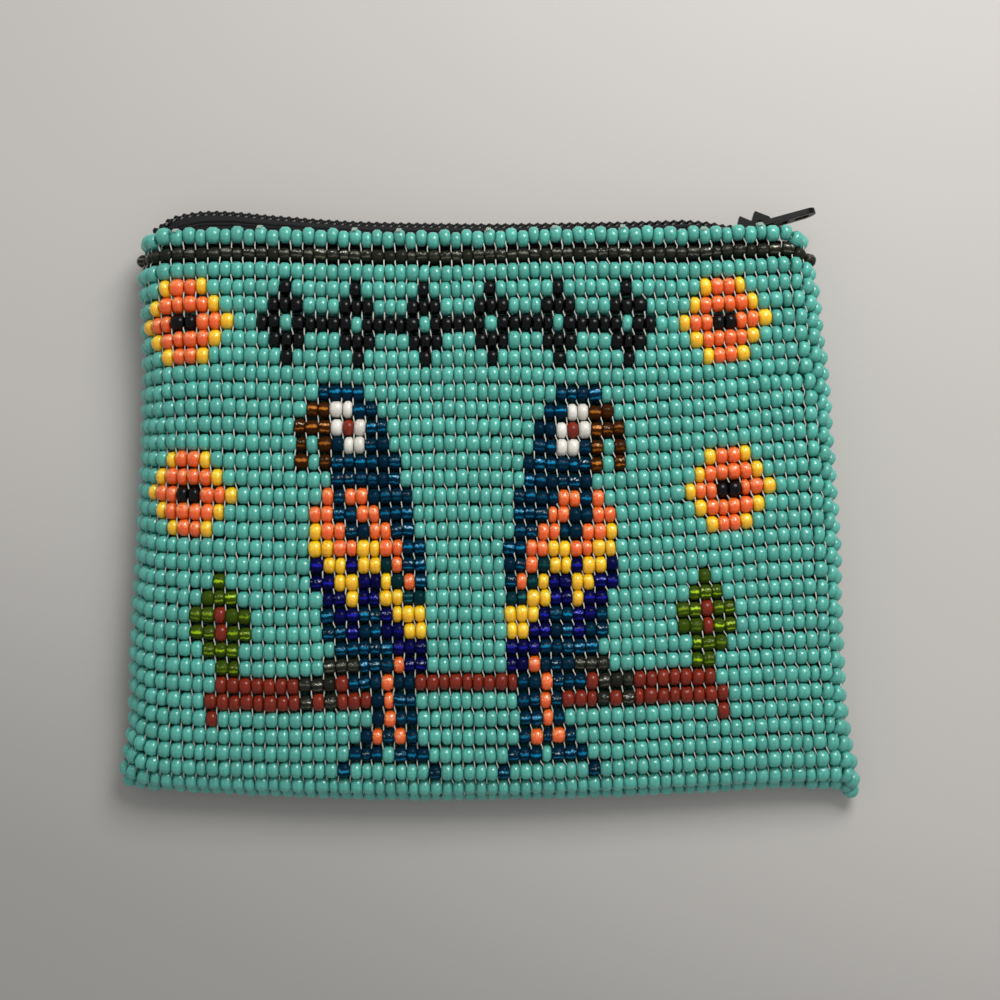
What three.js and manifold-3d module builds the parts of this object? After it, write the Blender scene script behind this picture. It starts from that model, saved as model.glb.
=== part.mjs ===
// A beaded coin purse, closed and lying on its back: two pillowed panels of bead cloth joined along three
// edges, and a coil zip along the fourth. Millimetres, +X along the zip, +Y towards the zip, +Z up.
import * as THREE from 'three';
import { mergeVertices } from 'three/addons/utils/BufferGeometryUtils.js';
import Module from 'manifold-3d';

// Bead cloth
const WALL = 2.3;
const CLEARANCE = 0.3;
const BOTTOM_ROLL = 3.6;
const TURN_STEPS = { left: 7, right: 5, bottom: 5 };
const SPAN_STEPS = { across: 12, up: 14 };

// The purse's sections from the bottom edge to the mouth: where its sides are, the height of its side seams,
// the height of the front panel at its left, middle and right, and how wide each side's round turn is.
const SECTIONS = [
  { y: -43.0, left: -51.2, right: 52.2, seamLeft: 3.0, seamRight: 3.0, frontLeft: 6.4, frontMiddle: 6.8,
    frontRight: 6.0, turnLeft: 4.0, turnRight: 3.2 },
  { y: -38.5, left: -52.7, right: 53.0, seamLeft: 3.0, seamRight: 3.2, frontLeft: 7.4, frontMiddle: 7.8,
    frontRight: 6.4, turnLeft: 4.6, turnRight: 3.2 },
  { y: -34.0, left: -51.7, right: 51.8, seamLeft: 3.0, seamRight: 3.6, frontLeft: 8.4, frontMiddle: 8.8,
    frontRight: 7.0, turnLeft: 5.6, turnRight: 3.3 },
  { y: -20.0, left: -51.5, right: 50.6, seamLeft: 3.1, seamRight: 4.8, frontLeft: 10.6, frontMiddle: 11.0,
    frontRight: 8.2, turnLeft: 8.4, turnRight: 3.5 },
  { y: -6.0, left: -50.8, right: 50.2, seamLeft: 3.2, seamRight: 5.8, frontLeft: 11.6, frontMiddle: 12.0,
    frontRight: 9.0, turnLeft: 10.0, turnRight: 3.6 },
  { y: 8.0, left: -50.4, right: 49.2, seamLeft: 3.3, seamRight: 6.6, frontLeft: 11.9, frontMiddle: 12.3,
    frontRight: 9.7, turnLeft: 10.0, turnRight: 3.6 },
  { y: 22.0, left: -50.3, right: 48.2, seamLeft: 3.4, seamRight: 7.2, frontLeft: 11.8, frontMiddle: 12.1,
    frontRight: 10.3, turnLeft: 8.0, turnRight: 3.6 },
  { y: 33.0, left: -50.9, right: 46.7, seamLeft: 3.5, seamRight: 7.5, frontLeft: 11.5, frontMiddle: 11.7,
    frontRight: 10.7, turnLeft: 5.0, turnRight: 3.6 },
  { y: 38.0, left: -50.3, right: 45.3, seamLeft: 3.6, seamRight: 7.6, frontLeft: 11.2, frontMiddle: 11.3,
    frontRight: 10.8, turnLeft: 4.4, turnRight: 3.6 },
];

// The bottom and mouth edges, seen from above.
const EDGES = [
  { x: -52.0, bottom: -40.8, mouth: 37.0 },
  { x: -46.0, bottom: -41.2, mouth: 37.6 },
  { x: -36.0, bottom: -41.9, mouth: 37.8 },
  { x: -12.0, bottom: -43.0, mouth: 37.7 },
  { x: 12.0, bottom: -42.8, mouth: 37.7 },
  { x: 34.0, bottom: -41.7, mouth: 37.7 },
  { x: 40.0, bottom: -41.3, mouth: 37.9 },
  { x: 45.0, bottom: -41.3, mouth: 37.9 },
  { x: 52.0, bottom: -42.8, mouth: 35.0 },
];

// Zip
const ZIP_HEIGHT = 5.45;
const CHAIN_WIDTH = 3.0;
const CHAIN_THICKNESS = 1.6;
const CHAIN_CORNER = 0.45;
const CHAIN_STEPS = 48;
const TAPE = 1.0;
const TAPE_SEWN = 5.0;
const TAPE_BEND = 2.2;
const TAPE_ENDS = { left: -44.0, right: 39.0 };
const TAPE_STEPS = { along: 26, deep: 6 };

// How far the closed chain's outer face stands out of the mouth along the zip.
const CHAIN_BOW = [
  { x: -47.0, out: 0.7 },
  { x: -45.2, out: 2.6 },
  { x: -41.8, out: 3.5 },
  { x: -38.0, out: 3.7 },
  { x: -31.0, out: 3.1 },
  { x: -20.0, out: 2.4 },
  { x: 2.0, out: 2.2 },
  { x: 24.0, out: 2.3 },
  { x: 30.0, out: 2.5 },
  { x: 32.8, out: 2.1 },
  { x: 34.4, out: 1.2 },
  { x: 35.8, out: 0.25 },
  { x: 37.4, out: 0.15 },
  { x: 39.2, out: 0.15 },
];

// Slider, measured from its hinge along the zip and from the chain's outer face outwards
const HINGE_X = 39.6;
const SLIDER_CHAIN_OUT = 0.15;
const SLIDER = { rear: -3.8, length: 7.0, rearWidth: 3.8, noseWidth: 5.2, corner: 1.1, plate: 0.6 };
const INNER_PLATE = { rear: -3.6, length: 5.0, width: 3.0, corner: 0.7 };
const RAIL = { length: 4.6, width: 0.6, depth: 0.5 };
const POST = { rear: -0.05, length: 1.3, width: 1.4 };
const BRIDGE = { opening: 1.9, headroom: 1.3, bar: 0.6, width: 1.5 };
const BRIDGE_CREST = { height: 2.7, back: 0.45, foot: 0.8 };
const BRIDGE_RAMP = { length: 2.2, height: 1.95, slope: 0.45, notch: 1.2 };
const BLEND = 0.1;

// Pull tab, measured from its hinge
const TAB = { length: 8.0, width: 3.8, tipWidth: 3.2, thickness: 0.8, rootBar: 0.6, rest: 16.0 };
const TAB_EYE = { length: 3.5, width: 2.1 };
const TAB_SLOT = { start: 4.8, length: 2.2, width: 1.5 };
const ARC_POINTS = 6;

const FINISHES = {
  beads: { color: '#48b4a0', roughness: 0.25, metalness: 0.0 },
  tape: { color: '#161617', roughness: 0.9, metalness: 0.0 },
  coil: { color: '#1b1b1d', roughness: 0.45, metalness: 0.0 },
  enamel: { color: '#101011', roughness: 0.35, metalness: 0.6 },
};

const FRONT = 1;
const BACK = -1;
const QUARTER = Math.PI / 2;

/** A smooth reading of a table: its rows have a key column, and every other column is followed. */
function smoothTable(rows, key) {
  const columns = Object.keys(rows[0]).filter((name) => name !== key);
  const values = rows.flatMap((row) => columns.map((name) => row[name]));
  const curve = new THREE.CubicInterpolant(rows.map((row) => row[key]), values, columns.length);
  const first = rows[0][key];
  const last = rows[rows.length - 1][key];
  return (where) => {
    const read = curve.evaluate(THREE.MathUtils.clamp(where, first, last));
    return Object.fromEntries(columns.map((name, i) => [name, read[i]]));
  };
}

const sectionAt = smoothTable(SECTIONS, 'y');
const edgesAt = smoothTable(EDGES, 'x');
const bowAt = smoothTable(CHAIN_BOW, 'x');

/** Stations over a span: a round turn at its start, a plain middle, and a round turn at its end. */
function stations(startSteps, middleSteps, endSteps) {
  const list = [];
  for (let i = 0; i < startSteps; i += 1) {
    list.push({ start: (QUARTER * i) / startSteps, along: 0, end: QUARTER });
  }
  for (let i = 0; i <= middleSteps; i += 1) {
    list.push({ start: QUARTER, along: i / middleSteps, end: QUARTER });
  }
  for (let i = endSteps - 1; i >= 0; i -= 1) {
    list.push({ start: QUARTER, along: 1, end: (QUARTER * i) / endSteps });
  }
  return list;
}

/** Where a station falls between two edges whose turns have these widths. */
function placeStation(station, from, to, startTurn, endTurn) {
  const start = from + startTurn * (1 - Math.cos(station.start));
  const end = to - endTurn * (1 - Math.cos(station.end));
  return THREE.MathUtils.lerp(start, end, station.along);
}

/** How far a round turn has risen, from 0 at the edge to 1 where the turn ends. */
function turned(distance, turn) {
  const short = 1 - THREE.MathUtils.clamp(distance / turn, 0, 1);
  return Math.sqrt(1 - short * short);
}

/** The front panel's height over a section before its edges turn down: an arch through three heights. */
function archHeight(section, x) {
  const across = (x - section.left) / (section.right - section.left);
  const left = section.frontLeft * (1 - across) * (1 - 2 * across);
  const middle = section.frontMiddle * 4 * across * (1 - across);
  const right = section.frontRight * across * (2 * across - 1);
  return left + middle + right;
}

/** A panel's height over its section, by how far its edges have turned there. */
function turnedHeight(section, x, inset, side, turns) {
  const across = (x - section.left) / (section.right - section.left);
  const seam = THREE.MathUtils.lerp(section.seamLeft, section.seamRight, across);
  const rim = seam + (side * CLEARANCE) / 2;
  const rise = side === FRONT ? archHeight(section, x) - rim : rim;
  return rim + side * (rise - inset) * turns;
}

/** The height of a panel's face at a point; inset 0 is its outer face and inset WALL its inner face. */
function faceHeight(x, y, inset, side) {
  const section = sectionAt(y);
  const turns = turned(x - section.left - inset, section.turnLeft - inset)
    * turned(section.right - inset - x, section.turnRight - inset)
    * turned(y - edgesAt(x).bottom - inset, BOTTOM_ROLL - inset);
  return turnedHeight(section, x, inset, side, turns);
}

/** The grid of points of one face of a panel. */
function panelFace(inset, side) {
  const middle = sectionAt(0);
  const across = stations(TURN_STEPS.left, SPAN_STEPS.across, TURN_STEPS.right);
  const up = stations(TURN_STEPS.bottom, SPAN_STEPS.up, 0);
  return up.map((row) => across.map((column) => {
    const near = placeStation(column, middle.left, middle.right, middle.turnLeft, middle.turnRight);
    const edges = edgesAt(near);
    const y = placeStation(row, edges.bottom + inset, edges.mouth, BOTTOM_ROLL - inset, 0);
    const section = sectionAt(y);
    const x = placeStation(column, section.left + inset, section.right - inset,
      section.turnLeft - inset, section.turnRight - inset);
    const turns = Math.sin(column.start) * Math.sin(column.end) * Math.sin(row.start);
    return new THREE.Vector3(x, y, turnedHeight(section, x, inset, side, turns));
  }));
}

/** A closed solid between two grids of points that have the same rows and columns. */
function slab(upper, lower) {
  const rows = upper.length;
  const columns = upper[0].length;
  const points = [...upper.flat(), ...lower.flat()];
  const top = (i, j) => i * columns + j;
  const under = (i, j) => rows * columns + i * columns + j;
  const faces = [];
  const quad = (a, b, c, d) => faces.push(a, b, c, a, c, d);
  for (let i = 0; i + 1 < rows; i += 1) {
    for (let j = 0; j + 1 < columns; j += 1) {
      quad(top(i, j), top(i, j + 1), top(i + 1, j + 1), top(i + 1, j));
      quad(under(i, j), under(i + 1, j), under(i + 1, j + 1), under(i, j + 1));
    }
  }
  for (let j = 0; j + 1 < columns; j += 1) {
    quad(under(0, j), under(0, j + 1), top(0, j + 1), top(0, j));
    quad(top(rows - 1, j), top(rows - 1, j + 1), under(rows - 1, j + 1), under(rows - 1, j));
  }
  for (let i = 0; i + 1 < rows; i += 1) {
    quad(top(i, 0), top(i + 1, 0), under(i + 1, 0), under(i, 0));
    quad(under(i, columns - 1), under(i + 1, columns - 1), top(i + 1, columns - 1), top(i, columns - 1));
  }
  const geometry = new THREE.BufferGeometry().setFromPoints(points);
  geometry.setIndex(faces);
  geometry.computeVertexNormals();
  return geometry;
}

function panel(side) {
  const outer = panelFace(0, side);
  const inner = panelFace(WALL, side);
  return side === FRONT ? slab(outer, inner) : slab(inner, outer);
}

/** One half of the zip's tape: sewn under a panel's mouth edge, then out to the side of the chain. */
function tape(side) {
  const chainSide = ZIP_HEIGHT + side * (CHAIN_WIDTH / 2 + CLEARANCE);
  const sheet = (lift) => {
    const grid = [];
    for (let k = 0; k <= TAPE_STEPS.deep; k += 1) {
      const row = [];
      for (let i = 0; i <= TAPE_STEPS.along; i += 1) {
        const x = THREE.MathUtils.lerp(TAPE_ENDS.left, TAPE_ENDS.right, i / TAPE_STEPS.along);
        const mouth = edgesAt(x).mouth;
        const end = mouth + bowAt(x).out - CHAIN_THICKNESS / 2;
        const y = THREE.MathUtils.lerp(mouth - TAPE_SEWN, end, k / TAPE_STEPS.deep);
        const sewn = faceHeight(x, Math.min(y, mouth), WALL, side) - side * (CLEARANCE + TAPE);
        const bend = THREE.MathUtils.smoothstep(y, mouth - TAPE_BEND, end);
        row.push(new THREE.Vector3(x, y, THREE.MathUtils.lerp(sewn, chainSide, bend) + lift));
      }
      grid.push(row);
    }
    return grid;
  };
  return side === FRONT ? slab(sheet(TAPE), sheet(0)) : slab(sheet(0), sheet(-TAPE));
}

/** A rectangle with rounded corners, centred at x, y. */
function roundedRectangle(x, y, length, width, corner) {
  const [a, b] = [length / 2, width / 2];
  const shape = new THREE.Shape();
  shape.absarc(x + a - corner, y + b - corner, corner, 0, QUARTER);
  shape.absarc(x - a + corner, y + b - corner, corner, QUARTER, 2 * QUARTER);
  shape.absarc(x - a + corner, y - b + corner, corner, 2 * QUARTER, 3 * QUARTER);
  shape.absarc(x + a - corner, y - b + corner, corner, 3 * QUARTER, 4 * QUARTER);
  return shape;
}

/** The closed coil as one rounded bar along its bowed path. */
function chain() {
  const path = new THREE.CatmullRomCurve3(CHAIN_BOW.map(({ x, out }) => (
    new THREE.Vector3(x, edgesAt(x).mouth + out - CHAIN_THICKNESS / 2, ZIP_HEIGHT))));
  const section = roundedRectangle(0, 0, CHAIN_WIDTH, CHAIN_THICKNESS, CHAIN_CORNER);
  return new THREE.ExtrudeGeometry(section, { extrudePath: path, steps: CHAIN_STEPS, curveSegments: 1 });
}

const wasm = await Module();
wasm.setup();

/** A closed geometry as a solid that can be joined and cut. */
function toSolid(geometry) {
  const bare = geometry.clone();
  bare.deleteAttribute('normal');
  bare.deleteAttribute('uv');
  const merged = mergeVertices(bare);
  return new wasm.Manifold(new wasm.Mesh({
    numProp: 3,
    vertProperties: Float32Array.from(merged.attributes.position.array),
    triVerts: Uint32Array.from(merged.index.array),
  }));
}

function toGeometry(solid) {
  const mesh = solid.getMesh();
  const geometry = new THREE.BufferGeometry();
  geometry.setAttribute('position', new THREE.BufferAttribute(mesh.vertProperties, 3));
  geometry.setIndex(new THREE.BufferAttribute(mesh.triVerts, 1));
  geometry.computeVertexNormals();
  return geometry;
}

function joined(geometries) {
  return toGeometry(geometries.map(toSolid).reduce((whole, piece) => whole.add(piece)));
}

function extruded(shape, depth) {
  return new THREE.ExtrudeGeometry(shape, { depth, bevelEnabled: false, curveSegments: ARC_POINTS });
}

/** A shape drawn over the zip (x along it, y across it), raised outwards from one level to another. */
function raised(shape, from, to) {
  return extruded(shape, to - from).translate(0, 0, from).rotateX(-QUARTER);
}

/** The slider's outer plate: narrow at its rear, wide and round at its nose. */
function outerPlateShape() {
  const [rear, nose] = [SLIDER.rear, SLIDER.rear + SLIDER.length];
  const [narrow, wide] = [SLIDER.rearWidth / 2, SLIDER.noseWidth / 2];
  const shape = new THREE.Shape();
  shape.moveTo(rear, -narrow + SLIDER.corner / 2);
  shape.quadraticCurveTo(rear, -narrow, rear + SLIDER.corner, -narrow);
  shape.lineTo(nose - 2 * SLIDER.corner, -wide);
  shape.quadraticCurveTo(nose, -wide, nose, 0);
  shape.quadraticCurveTo(nose, wide, nose - 2 * SLIDER.corner, wide);
  shape.lineTo(rear + SLIDER.corner, narrow);
  shape.quadraticCurveTo(rear, narrow, rear, narrow - SLIDER.corner / 2);
  shape.closePath();
  return shape;
}

function postShape() {
  const shape = new THREE.Shape();
  shape.moveTo(POST.rear, 0);
  shape.lineTo(POST.rear + POST.length / 2, -POST.width / 2);
  shape.lineTo(POST.rear + POST.length, 0);
  shape.lineTo(POST.rear + POST.length / 2, POST.width / 2);
  shape.closePath();
  return shape;
}

/** The bridge that holds the tab, seen along Z: a ramp at its rear, then a pointed crest over an opening. */
function bridgeGeometry(base) {
  const half = BRIDGE.opening / 2;
  const back = -half - BRIDGE.bar;
  const arch = new THREE.Shape();
  arch.moveTo(back - BRIDGE_RAMP.length, -BLEND);
  arch.lineTo(-half, -BLEND);
  arch.lineTo(-half, BRIDGE.headroom);
  arch.lineTo(half, BRIDGE.headroom);
  arch.lineTo(half, -BLEND);
  arch.lineTo(half + BRIDGE_CREST.foot, -BLEND);
  arch.quadraticCurveTo(half + BRIDGE.bar, BRIDGE.headroom, half, BRIDGE.headroom + BRIDGE.bar);
  arch.lineTo(back + BRIDGE_CREST.back, BRIDGE_CREST.height);
  arch.lineTo(back, BRIDGE_RAMP.notch);
  arch.lineTo(back - BRIDGE_RAMP.length + BRIDGE_RAMP.slope, BRIDGE_RAMP.height);
  arch.closePath();
  return extruded(arch, BRIDGE.width).translate(0, base, -BRIDGE.width / 2);
}

function slider() {
  const outerFloor = CLEARANCE;
  const outerTop = outerFloor + SLIDER.plate;
  const innerTop = -CHAIN_THICKNESS - CLEARANCE;
  const innerFloor = innerTop - SLIDER.plate;
  const middle = SLIDER.rear + SLIDER.length / 2;
  const innerMiddle = INNER_PLATE.rear + INNER_PLATE.length / 2;
  const innerPlate = roundedRectangle(innerMiddle, 0, INNER_PLATE.length, INNER_PLATE.width,
    INNER_PLATE.corner);
  const rails = [-1, 1].map((side) => {
    const offset = side * (SLIDER.rearWidth / 2 + RAIL.width / 2 - BLEND);
    const rail = roundedRectangle(middle - BLEND, offset, RAIL.length, RAIL.width, RAIL.width / 3);
    return raised(rail, outerFloor - RAIL.depth, outerFloor + BLEND);
  });
  return joined([
    raised(outerPlateShape(), outerFloor, outerTop),
    raised(innerPlate, innerFloor, innerTop),
    raised(postShape(), innerTop - BLEND, outerFloor + BLEND),
    bridgeGeometry(outerTop),
    ...rails,
  ]);
}

/** The tab flat along +X from its hinge: an eye round the bridge, then a blade with a long slot. */
function pullTab() {
  const [wide, tip] = [TAB.width / 2, TAB.tipWidth / 2];
  const root = -TAB.rootBar / 2;
  const blade = new THREE.Shape();
  blade.moveTo(root, -wide);
  blade.lineTo(TAB.length - tip, -tip);
  blade.absarc(TAB.length - tip, 0, tip, -QUARTER, QUARTER);
  blade.lineTo(root, wide);
  blade.closePath();
  const eye = roundedRectangle(TAB.rootBar / 2 + TAB_EYE.length / 2, 0, TAB_EYE.length, TAB_EYE.width, BLEND);
  const slot = roundedRectangle(TAB_SLOT.start + TAB_SLOT.length / 2, 0, TAB_SLOT.length, TAB_SLOT.width,
    TAB_SLOT.width / 2 - BLEND);
  blade.holes.push(eye, slot);
  return raised(blade, -TAB.thickness / 2, TAB.thickness / 2);
}

function pieceMesh(name, geometry, finish) {
  const mesh = new THREE.Mesh(geometry, new THREE.MeshStandardMaterial(finish));
  mesh.name = name;
  return mesh;
}

const purse = new THREE.Group();
purse.add(
  pieceMesh('front_panel', panel(FRONT), FINISHES.beads),
  pieceMesh('back_panel', panel(BACK), FINISHES.beads),
  pieceMesh('zip_tape_front', tape(FRONT), FINISHES.tape),
  pieceMesh('zip_tape_back', tape(BACK), FINISHES.tape),
  pieceMesh('zip_chain', chain(), FINISHES.coil),
);

const sliderGroup = new THREE.Group();
sliderGroup.position.set(HINGE_X, edgesAt(HINGE_X).mouth + SLIDER_CHAIN_OUT, ZIP_HEIGHT);
sliderGroup.add(pieceMesh('slider', slider(), FINISHES.enamel));

const hinge = new THREE.Group();
hinge.position.set(0, CLEARANCE + SLIDER.plate + BRIDGE.headroom / 2, 0);
hinge.rotation.z = THREE.MathUtils.degToRad(TAB.rest);
hinge.add(pieceMesh('pull_tab', pullTab(), FINISHES.enamel));
sliderGroup.add(hinge);
purse.add(sliderGroup);

// The purse stands with the middle of its box's underside at the origin.
const box = new THREE.Box3().setFromObject(purse);
const centre = box.getCenter(new THREE.Vector3());
purse.position.set(-centre.x, -centre.y, -box.min.z);
purse.updateMatrixWorld(true);

export default purse;
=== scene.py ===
"""A lying coin purse of loom-woven glass seed beads with a coil zip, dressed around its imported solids."""
import logging
import math
from dataclasses import dataclass, field
from enum import Enum

import bmesh
import bpy
import numpy as np
from mathutils import Matrix, Vector
from mathutils.bvhtree import BVHTree


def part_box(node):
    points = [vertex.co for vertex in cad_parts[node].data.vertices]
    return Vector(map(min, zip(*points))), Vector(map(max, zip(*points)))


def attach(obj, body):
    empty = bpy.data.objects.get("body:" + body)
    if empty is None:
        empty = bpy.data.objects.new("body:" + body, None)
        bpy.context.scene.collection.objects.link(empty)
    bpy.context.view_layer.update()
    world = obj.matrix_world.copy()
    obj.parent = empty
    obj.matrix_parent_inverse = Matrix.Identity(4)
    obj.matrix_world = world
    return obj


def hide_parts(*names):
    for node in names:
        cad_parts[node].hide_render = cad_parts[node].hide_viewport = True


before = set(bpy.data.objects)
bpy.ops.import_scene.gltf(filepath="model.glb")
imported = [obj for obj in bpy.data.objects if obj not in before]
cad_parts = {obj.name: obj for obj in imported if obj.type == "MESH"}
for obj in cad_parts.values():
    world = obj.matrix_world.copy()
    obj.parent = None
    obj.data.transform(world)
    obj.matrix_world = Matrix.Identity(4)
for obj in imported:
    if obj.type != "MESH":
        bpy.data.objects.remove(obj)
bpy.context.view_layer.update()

LOG = logging.getLogger("coin_purse")
MM = 0.001
PURSE = "purse"
DOWN = Vector((0.0, 0.0, -1.0))
UP = Vector((0.0, 0.0, 1.0))
TINY = 1e-12
WELD = 0.001 * MM


def linear(hex_colour: str) -> tuple[float, float, float, float]:
    """Turns a screen colour into the shader's linear one.

    Args:
        hex_colour: Six hexadecimal digits, red first.

    Returns:
        Linear red, green, blue, and an alpha of one.
    """
    channels = [int(hex_colour[i:i + 2], 16) / 255 for i in (0, 2, 4)]
    knee, slope, offset, gamma = 0.04045, 12.92, 0.055, 2.4
    lit = [c / slope if c <= knee else ((c + offset) / (1 + offset)) ** gamma for c in channels]
    return (*lit, 1.0)


def dimmed(colour: tuple[float, ...], share: float) -> tuple[float, float, float, float]:
    """A linear colour at a share of its strength."""
    return (*(c * share for c in colour[:3]), 1.0)


class Sock:
    """A shader socket that takes part in Python expressions on values."""

    def __init__(self, shader: "Shader", socket: bpy.types.NodeSocket) -> None:
        """Wraps one output socket of a shader."""
        self.shader = shader
        self.socket = socket

    def _math(self, operation: str, first: object, second: object) -> "Sock":
        """Adds one Math node.

        Args:
            operation: The Math node's operation.
            first: A number or a wrapped socket.
            second: A number or a wrapped socket.

        Returns:
            The node's wrapped result.
        """
        return self.shader.node("ShaderNodeMath", {"operation": operation}, {0: first, 1: second})

    def __add__(self, other: object) -> "Sock":
        """Sum."""
        return self._math("ADD", self, other)

    def __radd__(self, other: object) -> "Sock":
        """Sum, with the number first."""
        return self._math("ADD", other, self)

    def __sub__(self, other: object) -> "Sock":
        """Difference."""
        return self._math("SUBTRACT", self, other)

    def __rsub__(self, other: object) -> "Sock":
        """Difference from a number."""
        return self._math("SUBTRACT", other, self)

    def __mul__(self, other: object) -> "Sock":
        """Product."""
        return self._math("MULTIPLY", self, other)

    def __rmul__(self, other: object) -> "Sock":
        """Product, with the number first."""
        return self._math("MULTIPLY", other, self)

    def __abs__(self) -> "Sock":
        """Size without sign."""
        return self._math("ABSOLUTE", self, 0.0)

    def fraction(self) -> "Sock":
        """What is left over a whole number."""
        return self._math("FRACT", self, 0.0)

    def smooth(self, low: float, high: float) -> "Sock":
        """Rises smoothly from 0 at low to 1 at high.

        Args:
            low: Where the rise starts.
            high: Where it ends.

        Returns:
            The wrapped mask.
        """
        settings = {"interpolation_type": "SMOOTHSTEP"}
        return self.shader.node("ShaderNodeMapRange", settings, {0: self, 1: low, 2: high})


class Shader:
    """One material under construction."""

    def __init__(self, name: str) -> None:
        """Starts an empty node material.

        Args:
            name: Its name.
        """
        self.material = bpy.data.materials.new(name)
        self.material.use_nodes = True
        self.tree = self.material.node_tree
        self.tree.nodes.clear()

    def node(self, kind: str, settings: dict | None = None, sockets: dict | None = None,
             out: object = 0) -> Sock:
        """Adds any node.

        Args:
            kind: The node's type.
            settings: Its properties, set before its sockets.
            sockets: Numbers, colours or wrapped sockets by input name or place.
            out: The name or place of the output to return.

        Returns:
            The wrapped output.
        """
        node = self.tree.nodes.new(kind)
        for key, value in (settings or {}).items():
            setattr(node, key, value)
        for key, value in (sockets or {}).items():
            if isinstance(value, Sock):
                self.tree.links.new(value.socket, node.inputs[key])
            else:
                node.inputs[key].default_value = value
        return Sock(self, node.outputs[out])

    def mix(self, factor: object, first: object, second: object) -> Sock:
        """Mixes two colours.

        Args:
            factor: 0 for the first, 1 for the second.
            first: A colour or a wrapped socket.
            second: A colour or a wrapped socket.

        Returns:
            The wrapped colour.
        """
        settings = {"data_type": "RGBA"}
        return self.node("ShaderNodeMix", settings, {0: factor, 6: first, 7: second}, out=2)

    def attribute(self, name: str, out: str = "Fac") -> Sock:
        """Reads a stored attribute of the mesh."""
        return self.node("ShaderNodeAttribute", {"attribute_name": name}, out=out)

    def axis(self, vector: Sock, name: str) -> Sock:
        """One axis of a vector, by its letter."""
        return self.node("ShaderNodeSeparateXYZ", sockets={0: vector}, out=name)

    def noise(self, scale: float, detail: float = 3.0) -> Sock:
        """Cloudy noise over the piece's own coordinates, with scale per metre."""
        place = self.node("ShaderNodeTexCoord", out="Object")
        return self.node("ShaderNodeTexNoise", sockets={"Vector": place, "Scale": scale, "Detail": detail})

    def bump(self, height: Sock, strength: float, depth: float) -> Sock:
        """A normal raised by a height from 0 to 1, with its depth in metres."""
        sockets = {"Strength": strength, "Distance": depth, "Height": height}
        return self.node("ShaderNodeBump", sockets=sockets, out="Normal")

    def finish(self, sockets: dict) -> bpy.types.Material:
        """Closes the material with a Principled surface.

        Args:
            sockets: Values and wrapped sockets for the surface.

        Returns:
            The material.
        """
        surface = self.node("ShaderNodeBsdfPrincipled", sockets=sockets)
        output = self.tree.nodes.new("ShaderNodeOutputMaterial")
        self.tree.links.new(surface.socket, output.inputs["Surface"])
        return self.material


class Gleam(Enum):
    """How a seed bead's glass takes the light."""

    OPAQUE = "opaque"
    LUSTRE = "lustre"
    CLEAR = "clear"


@dataclass(frozen=True)
class Stripe:
    """A painted bright line along a bead, for a painted glint, highlight or sheen, with its places across
    the bead in radii from the middle.
    """

    place: float
    core: float
    fade: float
    drift: float = 0.0

    def mask(self, across: Sock, chance: Sock) -> Sock:
        """Masks the painted stripe.

        Args:
            across: The place across the bead.
            chance: The bead's own number, which moves the stripe by its share of the drift.

        Returns:
            One in the stripe's core, falling to nothing at its fade.
        """
        aside = across - self.place
        if self.drift:
            aside = aside - chance * self.drift
        return 1.0 - abs(aside).smooth(self.core, self.fade)


@dataclass(frozen=True)
class Spot:
    """A point of a bead's skin: the bead's own number, and the place along and across the bead."""

    tone: Sock
    along: Sock
    across: Sock


@dataclass(frozen=True)
class ClearLook:
    """Painted light in clear glass: painted glints and a broken painted highlight line in the colour, with
    the scales of its noise per metre.
    """

    upper: Stripe = Stripe(0.02, 0.04, 0.24, 0.3)
    lower: Stripe = Stripe(-0.25, 0.03, 0.15, -0.3)
    line: Stripe = Stripe(0.3, 0.03, 0.2)
    lower_share: float = 0.7
    lit: tuple[float, float] = (0.2, 0.9)
    ends: tuple[float, float] = (0.6, 1.0)
    second_number: float = 17.3
    ragged_scale: float = 2600.0
    raggedness: float = 0.6
    speck_scale: float = 3800.0
    speck_edge: tuple[float, float] = (0.5, 0.62)
    speck_lit: tuple[float, float] = (0.2, 1.0)
    speck_share: float = 0.8

    def light(self, shader: Shader, base: Sock, spot: Spot, painted_glint: str, painted_shine: str) -> Sock:
        """Paints two ragged glints and a broken highlight line into the colour.

        Args:
            shader: The bead's material.
            base: The glass's colour.
            spot: The point of the bead.
            painted_glint: The painted glints' colour.
            painted_shine: The painted highlight line's colour.

        Returns:
            The colour with its painted glints and painted highlight line.
        """
        other = (spot.tone * self.second_number).fraction()
        ragged = spot.across + (shader.noise(self.ragged_scale) - 0.5) * self.raggedness
        within = 1.0 - spot.along.smooth(*self.ends)
        # painted glints: a ragged one near the middle or upper half, and a fainter one in the lower half,
        # on some beads only
        upper = self.upper.mask(ragged, other) * spot.tone.smooth(*self.lit)
        lower = self.lower.mask(ragged, spot.tone) * other.smooth(*self.lit) * self.lower_share
        base = shader.mix((upper + lower) * within, base, linear(painted_glint))
        # painted highlight: broken pale specks along a line in the upper part of the bead
        speck = shader.noise(self.speck_scale).smooth(*self.speck_edge) * within
        speck = speck * other.smooth(*self.speck_lit) * self.speck_share
        return shader.mix(self.line.mask(ragged, spot.tone) * speck, base, linear(painted_shine))


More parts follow.
